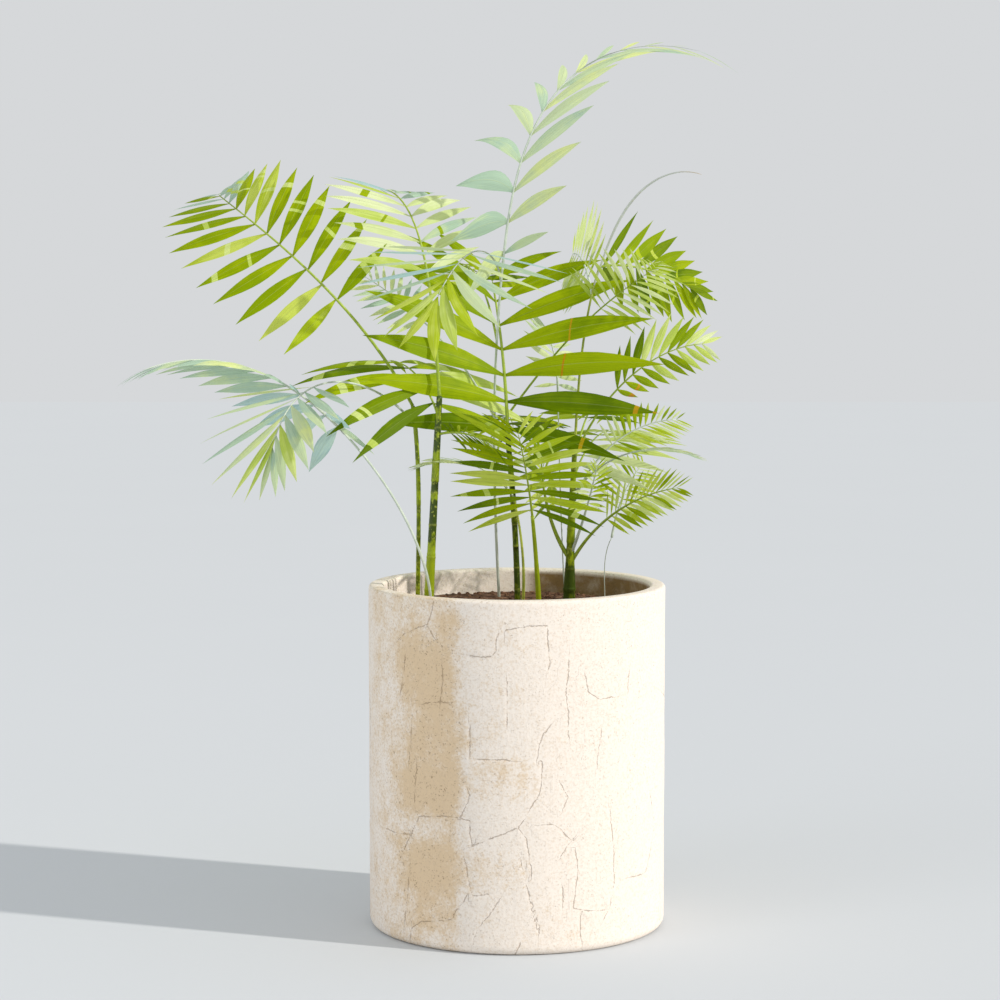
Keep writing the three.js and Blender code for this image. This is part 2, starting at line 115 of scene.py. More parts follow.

# The fronds run as their solids do, some with more and narrower leaflets.
# - The rib is bare for a share of its length. Above that come pairs of leaflets, leaf long
#   and wide across. short and taper shorten the lowest and the last, thin narrows the last,
#   and full under 1 fills the outline out.
# - spread is the angle between leaflet and rib, low down and at the tip. closing over 1
#   closes it sooner, and skew opens the right leaflets and closes the left ones.
# - lift raises both rows toward the face, pitch tilts each blade, and droop, curl and sickle
#   bend it down, under and toward the tip.
# - left, left_wide and fade are for the left leaflets: their length and width against the
#   right ones, and how much shorter they grow. So are spread_left, curl_left and sickle_left,
#   and the last two hook the low ones over.
# - rib is the rib's radius at its foot and tip. flecks is how often a leaflet has stripes of
#   painted sunlight and shade across it, and their finish, and flecked the hand that has most
#   of them. burnt lists burnt places as (pair, hand, start, end). A hand is 1 on the right and
#   -1 on the left.
#   nodes names the solids of a frond that has two.
FRONDS = {
    "frond_front": dict(on="cane_centre", heading=103, rise=86, fall=50, bend=0.8, length=206,
        roll=16, twist=-19, bare=0, pairs=7, leaf=205, wide=29, short=0.23, spread=(90, 60), skew=8,
        lift=28, droop=0.12, curl=0.06, rib=(2.3, 1.2),
        burnt=((3, 1, 0.455, 0.467), (2, 1, 0.37, 0.382), (1, 1, 0.84, 0.87), (0, 1, 0.62, 0.65),
               (1, 1, 0.96, 1.0)), deal=FRONT, slot="leaf_bright"),
    "frond_tall": dict(on="cane_back", heading=66, swing=-45, rise=77, fall=-12, bend=1.3,
        length=486, roll=-24, twist=-50, bare=0.01, pairs=13, leaf=136, wide=24, thin=0.9,
        short=0.5, taper=0.55, full=0.85, spread=(62, 18), closing=3.5, lift=34, droop=0.1,
        sickle=-0.06, left=0.72, left_wide=2.0, fade=0.6, spread_left=(128, 10), curl_left=0.34,
        sickle_left=-0.6, deal=MISTY, nodes=("frond_tall_foot", "frond_tall_tip"),
        slot="leaf_blue"),
    "frond_upper_left": dict(on="cane_left", heading=184, swing=-86, rise=63, fall=4, length=481,
        roll=84, twist=-66, bare=0.31, pairs=13, leaf=112, wide=18, taper=0.57, spread=(92, 29),
        skew=-6, lift=9, droop=0.07, sickle=0.04, rib=(2.0, 0.7), sun_shade_stripes=(0.75, "leaf_lime"),
        striped_hand=1,
        deal=dealt(right="bright bright sunlit", left="bright sunlit", tip="haze bright"),
        slot="leaf_bright"),
    "frond_upper_mid": dict(on="cane_left_stout", heading=105, swing=13, rise=75, fall=0, bend=1.8,
        length=356, twist=-14, bare=0.42, pairs=10, leaf=110, wide=14, taper=0.7, spread=(65, 54),
        skew=-9, lift=5, droop=0.05, sickle=-0.12, left=1.1, rib=(2.2, 0.7),
        sun_shade_stripes=(0.08, "leaf_bright"),
        deal=dealt(right="straw bright straw haze", left="straw straw lime", tip="cool haze"),
        slot="leaf_lime"),
    "frond_centre": dict(on="cane_back", at=0.955, heading=-104, swing=-8, rise=82, fall=-40,
        bend=0.43, length=238, roll=8, bare=0.45, pairs=8, leaf=136, wide=19, taper=0.22,
        spread=(77, 11), droop=0.05, sickle=-0.18, left=1.1,
        deal=dealt(right="haze cool mist", tip="sunlit lime sunlit"), slot="leaf_blue"),
    "frond_low_left": dict(on="cane_left", at=0.9, heading=-154, swing=49, rise=53, fall=-53,
        bend=0.9, length=292, roll=36, twist=-49, bare=0.58, pairs=8, leaf=127, wide=17, taper=0.48,
        spread=(53, 12), skew=-7, lift=5, droop=0.02, sickle=0.04, deal=HANGING, slot="leaf_blue"),
    "frond_far_left": dict(on="stem_far_left", heading=208, rise=44, fall=-20, bend=1.4, length=278,
        roll=-16, twist=12, bare=0.02, pairs=14, leaf=92, wide=22, thin=0.93, taper=0.62,
        spread=(108, 17), closing=3, lift=-16, droop=0.14,
        deal=dealt(right="haze mist haze", tip="haze", low="cool cool haze"),
        nodes=("frond_far_left_foot", "frond_far_left_tip"), slot="leaf_blue"),
    "frond_right_mid": dict(on="cane_right", at=0.96, heading=10, swing=28, rise=66, fall=1,
        bend=1.27, length=232, roll=-137, twist=56, bare=0.4, pairs=11, leaf=62, wide=10, taper=0.4,
        spread=(63, 25), skew=10, lift=-12, droop=0.03, sickle=0.1,
        burnt=((0, 1, 0.6, 0.8), (1, 1, 0.5, 0.6), (0, -1, 0.7, 0.8)),
        deal=dealt(right="bright bright lime", tip="lime straw bright", low="bright shaded"),
        slot="leaf_bright"),
    "frond_right_low": dict(on="cane_right", at=0.24, heading=-20, rise=62, fall=10, length=170,
        roll=-60, bare=0.42, pairs=15, leaf=48, wide=6.5, spread=(65, 30), droop=0.05,
        rib=(2.4, 0.6), sun_shade_stripes=(0.2, "leaf_lime"), deal=dealt(right="bright sunlit lime"),
        slot="leaf_bright"),
    "frond_right_pale": dict(on="cane_right", at=0.3, heading=-45, rise=62, fall=75, length=118,
        bare=0.55, pairs=12, leaf=38, wide=4.5, spread=(100, 40), droop=0.1, rib=(2.2, 0.6),
        deal=FRESH, slot="leaf_pale"),
    "frond_right_edge": dict(on="cane_right", at=0.6, heading=25, rise=74, fall=0, length=190,
        roll=-40, bare=0.5, pairs=14, leaf=48, wide=5, spread=(70, 35), droop=0.05, deal=FRESH,
        slot="leaf_pale"),
    "frond_right_striped": dict(on="stem_right_thin", heading=60, rise=70, fall=20, length=120,
        roll=-40, bare=0.3, pairs=13, leaf=42, wide=4.5, spread=(80, 40), droop=0.05, deal=FRESH,
        slot="leaf_pale"),
    "frond_right_arch": dict(on="cane_right", at=0.7, heading=-12, rise=58, fall=-20, length=168,
        bare=0.5, pairs=8, leaf=40, wide=6, spread=(50, 20), droop=0.05, deal=BLUE,
        slot="leaf_blue"),
    "frond_upper_right": dict(on="cane_back", at=0.5, heading=12, swing=-103, rise=53, fall=8,
        bend=2.4, length=331, roll=113, twist=-103, bare=0.59, pairs=17, leaf=87, wide=6.5,
        taper=0.8, spread=(74, 12), skew=7, lift=-28, pitch=-22, droop=0.12, left=0.8, deal=LIME,
        slot="leaf_lime"),
    "frond_right_broad": dict(on="petiole_right", heading=20, swing=32, rise=29, fall=-18,
        bend=0.25, length=170, roll=46, twist=46, bare=0, pairs=10, leaf=105, wide=16, taper=0.37,
        spread=(48, 10), skew=-6, lift=31, sun_shade_stripes=(0.2, "leaf_sunlit"),
        deal=dealt(right="bright bright shaded"), slot="leaf_deep"),
    "frond_right_narrow": dict(on="petiole_right", at=0.85, heading=100, rise=50, fall=-5,
        length=130, roll=-105, bare=0.2, pairs=9, leaf=76, wide=6.5, spread=(84, 60), pitch=62,
        droop=0.02, deal=PALE, slot="leaf_pale"),
    "frond_back_narrow": dict(on="stem_back_thin", heading=110, rise=88, fall=40, length=90,
        roll=-35, bare=0.1, pairs=9, leaf=62, wide=7, spread=(95, 45), pitch=30, droop=0.03,
        deal=PALE, slot="leaf_pale"),
    "frond_front_low": dict(on="cane_front", heading=-110, rise=72, fall=55, length=112, bare=0.05,
        pairs=14, leaf=100, wide=9.5, spread=(108, 36), droop=0.08, sun_shade_stripes=(0.3, "leaf_lime"),
        deal=BRIGHT, slot="leaf_bright"),
    "frond_inner_low": dict(on="cane_right", at=0.28, heading=165, rise=48, fall=90, bend=0.6,
        length=135, bare=0.5, pairs=10, leaf=84, wide=9, spread=(95, 45), droop=0.15,
        rib=(3.0, 0.8), sun_shade_stripes=(0.3, "leaf_lime"), deal=BRIGHT, slot="leaf_bright"),
    "frond_back_left": dict(on="cane_left_stout", at=0.9, heading=125, rise=62, fall=0, length=130,
        bare=0.1, pairs=6, leaf=160, wide=19, spread=(110, 50), droop=0.2,
        sun_shade_stripes=(0.8, "leaf_lime"), deal=dealt(right="lime bright", left="bright shaded"),
        slot="leaf_lime"),
    "frond_back_right": dict(on="cane_right", at=0.8, heading=65, rise=52, fall=0, length=130,
        bare=0.15, pairs=7, leaf=118, wide=15, spread=(100, 45), droop=0.15,
        sun_shade_stripes=(0.4, "leaf_straw"), deal=dealt(right="straw lime", left="bright lime"),
        slot="leaf_lime"),
    "frond_small_left": dict(on="stem_centre_thin", heading=178, rise=58, fall=-12, length=110,
        bare=0.5, pairs=6, leaf=60, wide=8, spread=(45, 20), droop=0.1, deal=BLUE,
        slot="leaf_blue"),
    "frond_small_upper": dict(on="cane_back", at=0.55, heading=165, rise=62, fall=30, length=235,
        roll=40, bare=0.62, pairs=10, leaf=50, wide=7, spread=(80, 40), droop=0.05, deal=BLUE,
        slot="leaf_blue"),
    "frond_mid_small": dict(on="cane_left_stout", at=0.82, heading=-25, rise=15, fall=-35,
        length=75, roll=30, bare=0.2, pairs=11, leaf=50, wide=4.5, spread=(80, 30), droop=0.15,
        deal=dealt(right="bright sunlit shaded"), slot="leaf_deep"),
    "frond_rear_low": dict(on="cane_back", at=0.35, heading=85, rise=45, fall=-25, length=300,
        bare=0.35, pairs=10, leaf=92, wide=15, spread=(75, 35), droop=0.15, deal=DEEP,
        slot="leaf_deep"),
    "frond_rear_high": dict(on="cane_back", at=0.78, heading=105, rise=55, fall=-15, length=260,
        bare=0.35, pairs=10, leaf=86, wide=14, spread=(75, 35), droop=0.1, deal=BRIGHT,
        slot="leaf_bright"),
    "frond_rear_right": dict(on="cane_right", at=0.9, heading=78, rise=45, fall=-22, length=270,
        bare=0.35, pairs=10, leaf=80, wide=14, spread=(75, 35), droop=0.15, deal=BRIGHT,
        slot="leaf_bright"),
}
SPEAR = dict(on="petiole_right", at=0.9, heading=-5, rise=72, fall=-20, bend=2.4, length=204)

# The cracks of the side that shows, as (angle from the front, height) along each.
CRACKS = [
    [(-33, 399), (-34, 385), (-36, 374), (-41, 369), (-48, 360), (-51, 353)],
    [(-35, 371), (-33, 361), (-31, 356)],
    [(-47, 335), (-48, 314), (-50, 293)],
    [(-29, 327), (-29, 311), (-30, 288), (-37, 284)],
    [(-30, 288), (-27, 287)],
    [(-7, 370), (-8, 360), (-8, 349), (-10, 342), (-13, 341), (-19, 343)],
    [(-5, 368), (-5, 372), (0, 375), (5, 377), (11, 377)],
    [(11, 377), (11, 358), (12, 336), (11, 323)],
    [(-4, 314), (-4, 292), (-4, 270), (-4, 257)],
    [(-18, 264), (-18, 246), (-18, 225), (-13, 225), (-3, 225)],
    [(12, 263), (9, 252), (8, 241), (7, 223)],
    [(-44, 251), (-44, 233), (-45, 217)],
    [(19, 339), (19, 322), (18, 302), (19, 277), (19, 251)],
    [(33, 254), (32, 237), (31, 217)],
    [(47, 319), (46, 297)],
    [(26, 318), (27, 300), (32, 290), (38, 291)],
    [(9, 223), (9, 205), (8, 185), (5, 172), (3, 159), (0, 148), (-5, 141), (-10, 135), (-17, 125)],
    [(-18, 152), (-18, 139), (-17, 126)],
    [(-19, 191), (-18, 182), (-20, 168), (-22, 156), (-18, 154)],
    [(-24, 157), (-29, 157), (-33, 155), (-40, 153), (-42, 141), (-44, 131), (-48, 111)],
    [(-59, 129), (-52, 128), (-44, 130)],
    [(-20, 109), (-19, 92), (-18, 79), (-17, 68)],
    [(-19, 70), (-21, 58), (-24, 48), (-25, 39), (-31, 35), (-39, 31), (-44, 21), (-45, 8)],
    [(-7, 64), (-10, 49), (-15, 31), (-16, 21)],
    [(-17, 68), (-13, 70), (-11, 71)],
    [(0, 148), (3, 136), (4, 119), (5, 101), (5, 92)],
    [(1, 112), (2, 96), (4, 74), (5, 56), (7, 34)],
    [(4, 70), (6, 56), (8, 36), (8, 27)],
    [(7, 150), (13, 151), (16, 146), (18, 137), (21, 131), (19, 126), (16, 113)],
    [(22, 118), (23, 98), (22, 71), (21, 53), (28, 48), (35, 46)],
    [(37, 163), (38, 138), (39, 111), (39, 74), (37, 48), (34, 35)],
    [(62, 167), (64, 148)],
    [(63, 110), (61, 92), (58, 78), (49, 78)],
    [(16, 197), (19, 181), (17, 168)],
    [(24, 44), (24, 21), (25, 7)],
    [(-45, 85), (-46, 62), (-47, 43), (-48, 27)],
    [(-41, 209), (-42, 184), (-42, 163)],
    [(17, 77), (17, 54)],
    [(1, 16), (-1, 2)],
]

# Darker patches of the stone, stains that on the left side are partly painted shade, as
# (angle, height, half width, half height, strength), and the same five values' limits for
# stains on the hidden side. Then an upright band of stain and painted shade and a faint wash
# of painted shade on its left, as (angle, strength).
STAIN_AND_SHADE_PATCHES = [
    (-37, 322, 14, 40, 0.35), (-31, 262, 13, 36, 0.25), (-34, 185, 12, 30, 0.4),
    (-33, 97, 13, 30, 0.4), (-36, 44, 12, 22, 0.2), (-48, 176, 7, 30, 0.2),
    (-25, 376, 7, 16, 0.3), (-10, 200, 16, 26, 0.35), (-8, 95, 12, 28, 0.25),
    (-3, 345, 9, 40, 0.2),
]
HIDDEN_STAINS = 11
HIDDEN_STAIN = ((95, 265), (30, 370), (8, 16), (20, 42), (0.2, 0.5))
STAIN_AND_SHADE_BAND = ((-100, 0.0), (-52, 0.234), (-44, 0.26), (-25, 0.26), (-20, 0.0))
SHADE_WASH = ((-120, 0.0), (-70, 0.2), (-35, 0.2), (15, 0.0))


# How a stem, a rib or a leaflet runs.

STATIONS = 32


def aim(route, share):
    """The way along, the side and the face of a blade at a share of the route."""
    ease = share ** route.get("bend", 1)
    heading = math.radians(route["heading"] + route.get("swing", 0) * ease)
    rise = math.radians(route["rise"] + (route["fall"] - route["rise"]) * ease)
    roll = math.radians(route.get("roll", 0) + route.get("twist", 0) * ease)
    level = math.cos(rise)
    along = Vector((level * math.cos(heading), level * math.sin(heading), math.sin(rise)))
    flat_side = Vector((math.sin(heading), -math.cos(heading), 0))
    up_face = flat_side.cross(along)
    side = flat_side * math.cos(roll) + up_face * math.sin(roll)
    face = up_face * math.cos(roll) - flat_side * math.sin(roll)
    return along, side, face


def sweep(route):
    """Stations (place, along, side, face) from the start to the end of a route."""
    if "on" in route:
        place = station_at(routes[route["on"]], route.get("at", 1))[0]
    else:
        place = Vector((*route["foot"], SOIL_TOP - PLANTED_DEPTH))
    step = route["length"] / STATIONS
    stations = [(place.copy(), *aim(route, 0))]
    for i in range(1, STATIONS + 1):
        place += aim(route, (i - 0.5) / STATIONS)[0] * step
        stations.append((place.copy(), *aim(route, i / STATIONS)))
    return stations


def station_at(stations, share):
    spot = min(max(share, 0.0), 1.0) * STATIONS
    low = min(int(spot), STATIONS - 1)
    pairs = zip(stations[low], stations[low + 1])
    place, along, side, face = (a.lerp(b, spot - low) for a, b in pairs)
    return place, along.normalized(), side.normalized(), face.normalized()


routes = {}
for name, route in (*STEMS.items(), *FRONDS.items(), ("spear_right", SPEAR)):
    routes[name] = sweep(route)


# Shader pieces that several finishes share.

def linear(red, green, blue):
    """A colour given as 0 to 255 on a screen, as the shaders take it."""
    steps = [value / 255 for value in (red, green, blue)]
    lit = (v / 12.92 if v <= 0.04045 else ((v + 0.055) / 1.055) ** 2.4 for v in steps)
    return (*lit, 1.0)


def put(kind, inputs, tree=None, **settings):
    """Adds a shader node with its settings and its inputs, each a value or another node's
    output. It goes into the tree where those outputs are, unless one is given."""
    sockets = [value for value in inputs.values() if isinstance(value, bpy.types.NodeSocket)]
    tree = tree or sockets[0].id_data
    made = tree.nodes.new("ShaderNode" + kind)
    for key, value in settings.items():
        setattr(made, key, value)
    for key, value in inputs.items():
        if isinstance(value, bpy.types.NodeSocket):
            tree.links.new(value, made.inputs[key])
        else:
            made.inputs[key].default_value = value
    return made


def maths(operation):
    """A function that adds a node for one kind of sum of its values."""
    def add_sum(*values, clamp=False):
        inputs = dict(enumerate(values))
        return put("Math", inputs, operation=operation, use_clamp=clamp).outputs[0]
    return add_sum


plus, minus, times, over = maths("ADD"), maths("SUBTRACT"), maths("MULTIPLY"), maths("DIVIDE")
times_plus, least = maths("MULTIPLY_ADD"), maths("MINIMUM")
unsigned, wave = maths("ABSOLUTE"), maths("SINE")


def blend_colours(amount, first, second):
    inputs = {0: amount, 6: first, 7: second}
    return put("Mix", inputs, data_type="RGBA").outputs[2]


def between(value, low, high, to_low=0.0, to_high=1.0):
    """A smooth step of a value from low to high."""
    inputs = dict(enumerate((value, low, high, to_low, to_high)))
    return put("MapRange", inputs, interpolation_type="SMOOTHSTEP").outputs[0]


def cloud(where, scale, detail=3.0, rough=0.55):
    inputs = {"Vector": where, "Scale": scale, "Detail": detail, "Roughness": rough}
    return put("TexNoise", inputs).outputs["Fac"]


def stretch(where, upright):
    """Coordinates that draw a pattern out along the height."""
    return put("Mapping", {"Vector": where, "Scale": (1, 1, upright)}).outputs[0]


def marked(tree, label):
    """The value that a mesh carries at each of its points under a name."""
    return put("Attribute", {}, tree, attribute_name=label).outputs["Fac"]


def bump(height, distance, strength):
    inputs = {"Height": height, "Distance": distance, "Strength": strength}
    return put("Bump", inputs).outputs["Normal"]


# The kind of socket that takes a value, by how many numbers the value has.
SOCKETS = {1: "NodeSocketFloat", 3: "NodeSocketVector", 4: "NodeSocketColor"}


def start_group(name, inputs):
    """A shader group with named inputs, and what they give. It puts out a Colour and a Height."""
    group = bpy.data.node_groups.new(name, "ShaderNodeTree")
    for label, value in inputs.items():
        kind = SOCKETS[np.size(value)]
        socket = group.interface.new_socket(name=label, in_out="INPUT", socket_type=kind)
        socket.default_value = value
    for label, numbers in (("Colour", 4), ("Height", 1)):
        group.interface.new_socket(name=label, in_out="OUTPUT", socket_type=SOCKETS[numbers])
    return group, group.nodes.new("NodeGroupInput").outputs


def end_group(group, colour, height):
    end = group.nodes.new("NodeGroupOutput")
    group.links.new(colour, end.inputs["Colour"])
    group.links.new(height, end.inputs["Height"])
    return group


def speckle_group():
    """Grain: darker grains of a given size over a colour, and the height of the surface."""
    group, given = start_group("grain_speckle", {
        "Where": (0, 0, 0), "Colour": (1, 1, 1, 1), "Dark grain": (0, 0, 0, 1), "Size": 900.0,
        "Amount": 0.3})
    where, size = given["Where"], given["Size"]
    fine = cloud(where, size, 2.0, 0.6)
    coarse = cloud(where, times(size, 0.37), 3.0, 0.6)
    grains = times(between(fine, 0.52, 0.74), between(coarse, 0.4, 0.66))
    dark = times(grains, given["Amount"], clamp=True)
    colour = blend_colours(dark, given["Colour"], given["Dark grain"])
    return end_group(group, colour, minus(coarse, dark))


def vein_group():
    """A leaf blade: a pale midrib, fine veins and streaks along it, and soft patches of random
    tone and painted dappled sunlight.
    """
    group, given = start_group("leaf_veins", {
        "Blade": (0, 0, 0), "Where": (0, 0, 0), "Tone": 0.5, "Colour": (0, 1, 0, 1),
        "Patch colour": (1, 1, 0, 1), "Patches": 0.5})
    place = put("SeparateXYZ", {"Vector": given["Blade"]})
    across, along, tone = place.outputs["X"], place.outputs["Y"], given["Tone"]
    midrib = between(unsigned(minus(across, 0.5)), 0.0, 0.03, 1.0, 0.0)
    ridges = wave(times(across, 75.0))
    drawn_out = {0: times(across, 9.0), 1: times(along, 1.6), 2: times(tone, 37.0)}
    streaks = cloud(put("CombineXYZ", drawn_out).outputs[0], 1.0, 3.0, 0.6)
    veins = times_plus(ridges, 0.16, times(streaks, 1.7))
    patchy = times_plus(tone, 0.24, cloud(given["Where"], 17.0, 3.0, 0.6))
    patchy = plus(patchy, times_plus(streaks, 0.4, -0.2))
    patch = times(between(patchy, 0.52, 0.78), given["Patches"])
    tinted = blend_colours(patch, given["Colour"], given["Patch colour"])
    shade = times(times_plus(veins, 0.2, 0.83), between(along, 0.0, 0.1, 0.82, 1.0))
    toned = put("VectorMath", {0: tinted, 3: shade}, operation="SCALE")
    pale = blend_colours(0.35, given["Patch colour"], (0.8, 0.88, 0.5, 1))
    colour = blend_colours(times(midrib, 0.4), toned.outputs[0], pale)
    return end_group(group, colour, plus(times(veins, 0.6), midrib))


speckles = speckle_group()
leaf_veins = vein_group()


def grained(where, colour, dark_grain, size, amount):
    """Stone or soil of a colour, with its darker grains: its colour and its height."""
    return put("Group", {
        "Where": where, "Colour": colour, "Dark grain": linear(*dark_grain), "Size": size,
        "Amount": amount}, node_tree=speckles).outputs


def new_finish(name):
    """A material with nothing in it yet, its nodes, and the place on the object."""
    made = bpy.data.materials.new(name)
    made.use_nodes = True
    tree = made.node_tree
    tree.nodes.clear()
    return made, tree, put("TexCoord", {}, tree).outputs["Object"]


def surface(colour, roughness, gloss, normal=None):
    inputs = {"Base Color": colour, "Roughness": roughness, "Specular IOR Level": gloss}
    if normal is not None:
        inputs["Normal"] = normal
    return put("BsdfPrincipled", inputs).outputs[0]


def close_finish(shader):
    put("OutputMaterial", {"Surface": shader})


# Leaf finishes: colour, the colour of its patches, and how far they show. leaf_bright is the
# leaves' own green and leaf_burnt their dry tips. The rest are painted light: leaf_sunlit,
# leaf_lime and leaf_straw painted sunlight and sun gloss, leaf_shaded and leaf_deep painted
# shade, and leaf_mist, leaf_haze and leaf_cool painted sky reflection.
LEAF_FINISHES = {
    "leaf_bright": ((140, 165, 0), (172, 190, 4), 0.8),
    "leaf_sunlit": ((182, 202, 36), (212, 224, 104), 0.8),
    "leaf_shaded": ((102, 130, 0), (138, 162, 4), 0.7),
    "leaf_lime": ((196, 216, 96), (226, 238, 152), 0.8),
    "leaf_straw": ((216, 230, 158), (238, 246, 196), 0.8),
    "leaf_mist": ((208, 224, 178), (230, 240, 160), 0.9),
    "leaf_haze": ((180, 206, 182), (212, 228, 176), 0.8),
    "leaf_cool": ((178, 210, 208), (202, 222, 204), 0.6),
    "leaf_deep": ((66, 92, 0), (108, 130, 12), 0.7),
    "leaf_burnt": ((208, 176, 30), (206, 146, 20), 0.9),
}
LIGHT_THROUGH = 0.38
LEAF_ROUGHNESS = 0.46
LEAF_GLOSS = 0.09

# Cane and stalk finishes: colour, the colours of its mottling and of its spots and scars,
# and how far the mottling shows.
CANE_FINISHES = {
    "green_cane": ((158, 178, 20), (52, 74, 10), (196, 204, 90), 0.95),
    # pale_stalk's pale blue-grey is painted skylight on shaded green stalks; pale ribs use it too.
    "pale_stalk": ((212, 222, 206), (172, 186, 166), (232, 236, 218), 0.7),
    "spotted_stalk": ((194, 206, 84), (92, 108, 30), (222, 226, 140), 0.9),
    "leaf_rib": ((166, 188, 58), (120, 146, 34), (204, 216, 124), 0.6),
    "dry_strap": ((212, 216, 208), (180, 184, 172), (214, 180, 140), 0.8),
}
CANE_GLOSS = 0.5
EARTH_GLOSS = 0.2


def leaf_finish(name, colour, patch, patches):
    made, tree, where = new_finish(name)
    veins = put("Group", {
        "Blade": put("UVMap", {}, tree, uv_map="blade").outputs[0], "Where": where,
        "Tone": marked(tree, "tone"), "Colour": linear(*colour), "Patch colour": linear(*patch),
        "Patches": patches}, node_tree=leaf_veins).outputs
    normal = bump(veins["Height"], 0.0005, 0.7)
    body = surface(veins["Colour"], LEAF_ROUGHNESS, LEAF_GLOSS, normal)
    through = put("BsdfTranslucent", {"Color": veins["Colour"]}).outputs[0]
    close_finish(put("MixShader", {0: LIGHT_THROUGH, 1: body, 2: through}).outputs[0])
    return made


def cane_finish(name, light, dark, spot, mottle):
    """A cane: light green mottled with dark, lighter spots, and faint ring scars. Its shade
    goes from bright at 0 to all dark at 2."""
    made, tree, where = new_finish(name)
    shade = marked(tree, "shade")
    streaks = cloud(stretch(where, 0.35), 230.0, 4.0, 0.6)
    clouds = cloud(where, 62.0, 2.0)
    mask = times(shade, between(plus(streaks, clouds), 0.86, 1.06))
    mask = plus(mask, minus(shade, 1.0, clamp=True), clamp=True)
    colour = blend_colours(times(mask, mottle), linear(*light), linear(*dark))
    spots = between(cloud(where, 300.0, 1.0), 0.62, 0.68)
    spotted = times(least(shade, minus(1.9, shade)), 0.7)
    colour = blend_colours(times(spots, spotted), colour, linear(*spot))
    colour = blend_colours(times(marked(tree, "scar"), 0.35), colour, linear(*spot))
    normal = bump(plus(times(streaks, 0.6), times(spots, 0.4)), 0.0004, 0.7)
    close_finish(surface(colour, between(streaks, 0.3, 0.7, 0.38, 0.58), CANE_GLOSS, normal))
    return made


def stone_finish():
    """Cast stone: sandy cream with ragged beige patches of stain and painted shade, pores and
    hairline cracks, and painted shade in brown inside the wall below the rim.
    """
    made, tree, where = new_finish("cast_stone")
    inner_shade = marked(tree, "inner_shade")
    clouds = cloud(where, 16.0, 6.0, 0.66)
    blots = cloud(where, 60.0, 5.0, 0.66)
    sand = cloud(where, 330.0, 3.0, 0.7)
    # The stain mark carries stains, and painted shade on the pot's left side.
    ragged = plus(marked(tree, "stain_and_shade"), times_plus(clouds, 1.1, -0.55))
    ragged = times_plus(minus(blots, 0.5), 0.8, ragged)
    ragged = times_plus(minus(sand, 0.5), 0.9, ragged)
    patch = between(ragged, 0.12, 0.78)
    colour = blend_colours(patch, linear(242, 232, 221), linear(223, 198, 164))
    sandy = between(sand, 0.44, 0.66, 0.0, 0.3)
    colour = blend_colours(sandy, colour, linear(212, 190, 164))
    # Painted shade: the inside of the wall on the right and back, below the rim, darkened to brown.
    inner_shading = times(inner_shade, between(blots, 0.2, 0.6, 0.7, 1.0))
    colour = blend_colours(inner_shading, colour, linear(140, 114, 74))
    amount = between(plus(patch, inner_shade), 0.0, 1.2, 0.45, 0.95)
    grains = grained(where, colour, (122, 96, 70), 520.0, amount)
    width = between(cloud(where, 90.0, 3.0, 0.7), 0.36, 0.62, 0.02, 1.2)
    wander = times_plus(cloud(where, 240.0, 3.0), 3.4, -1.7)
    distance = unsigned(plus(marked(tree, "crack"), wander))
    line = minus(1.0, over(distance, width, clamp=True), clamp=True)
    colour = blend_colours(times(line, 0.5), grains["Colour"], linear(146, 116, 84))
    brushed = cloud(stretch(where, 0.12), 420.0, 2.0, 0.5)
    height = times_plus(grains["Height"], 0.7, times(brushed, 0.35))
    height = times_plus(sand, 0.8, height)
    normal = bump(minus(height, times(line, 2.0)), 0.0008, 0.6)
    close_finish(surface(colour, between(blots, 0.3, 0.7, 0.82, 0.96), EARTH_GLOSS, normal))
    return made


def soil_finish():
    made, tree, where = new_finish("potting_soil")
    clods = cloud(where, 90.0, 5.0, 0.65)
    colour = blend_colours(between(clods, 0.35, 0.7), linear(74, 50, 36), linear(138, 104, 80))
    grains = grained(where, colour, (40, 26, 18), 420.0, 0.8)
    close_finish(surface(grains["Colour"], 0.95, EARTH_GLOSS, bump(clods, 0.002, 0.9)))
    return made


def floor_finish():
    """A plain pale floor, matched to the room so that no line shows between them."""
    made, tree, where = new_finish("pale_floor")
    colour = blend_colours(cloud(where, 1.5), (0.64, 0.665, 0.69, 1), (0.65, 0.675, 0.7, 1))
    close_finish(surface(colour, 1.0, 0.0))
    return made


finishes = {name: leaf_finish(name, *values) for name, values in LEAF_FINISHES.items()}
finishes |= {name: cane_finish(name, *values) for name, values in CANE_FINISHES.items()}
finishes |= {"cast_stone": stone_finish(), "potting_soil": soil_finish()}


# Making the pieces.

def into_scene(name, data):
    """A mesh, lamp or camera as an object of the scene."""
    made = bpy.data.objects.new(name, data)
    bpy.context.scene.collection.objects.link(made)
    return made


def mesh_of(name, bm):
    bm.normal_update()
    mesh = bpy.data.meshes.new(name)
    bm.to_mesh(mesh)
    bm.free()
    return mesh


def add_piece(name, mesh, finish_names):
    for finish in finish_names:
        mesh.materials.append(finishes[finish])
    mesh.shade_smooth()
    piece = into_scene(name, mesh)
    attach(piece, "root")
    return piece


def piece_of(name, bm, finish):
    return add_piece(name, mesh_of(name, bm), [finish])


def mark_points(mesh, label, values):
    """Gives each point of a mesh a value that its finish reads."""
    values = np.asarray(values, dtype=np.float32)
    mesh.attributes.new(label, "FLOAT", "POINT").data.foreach_set("value", values)


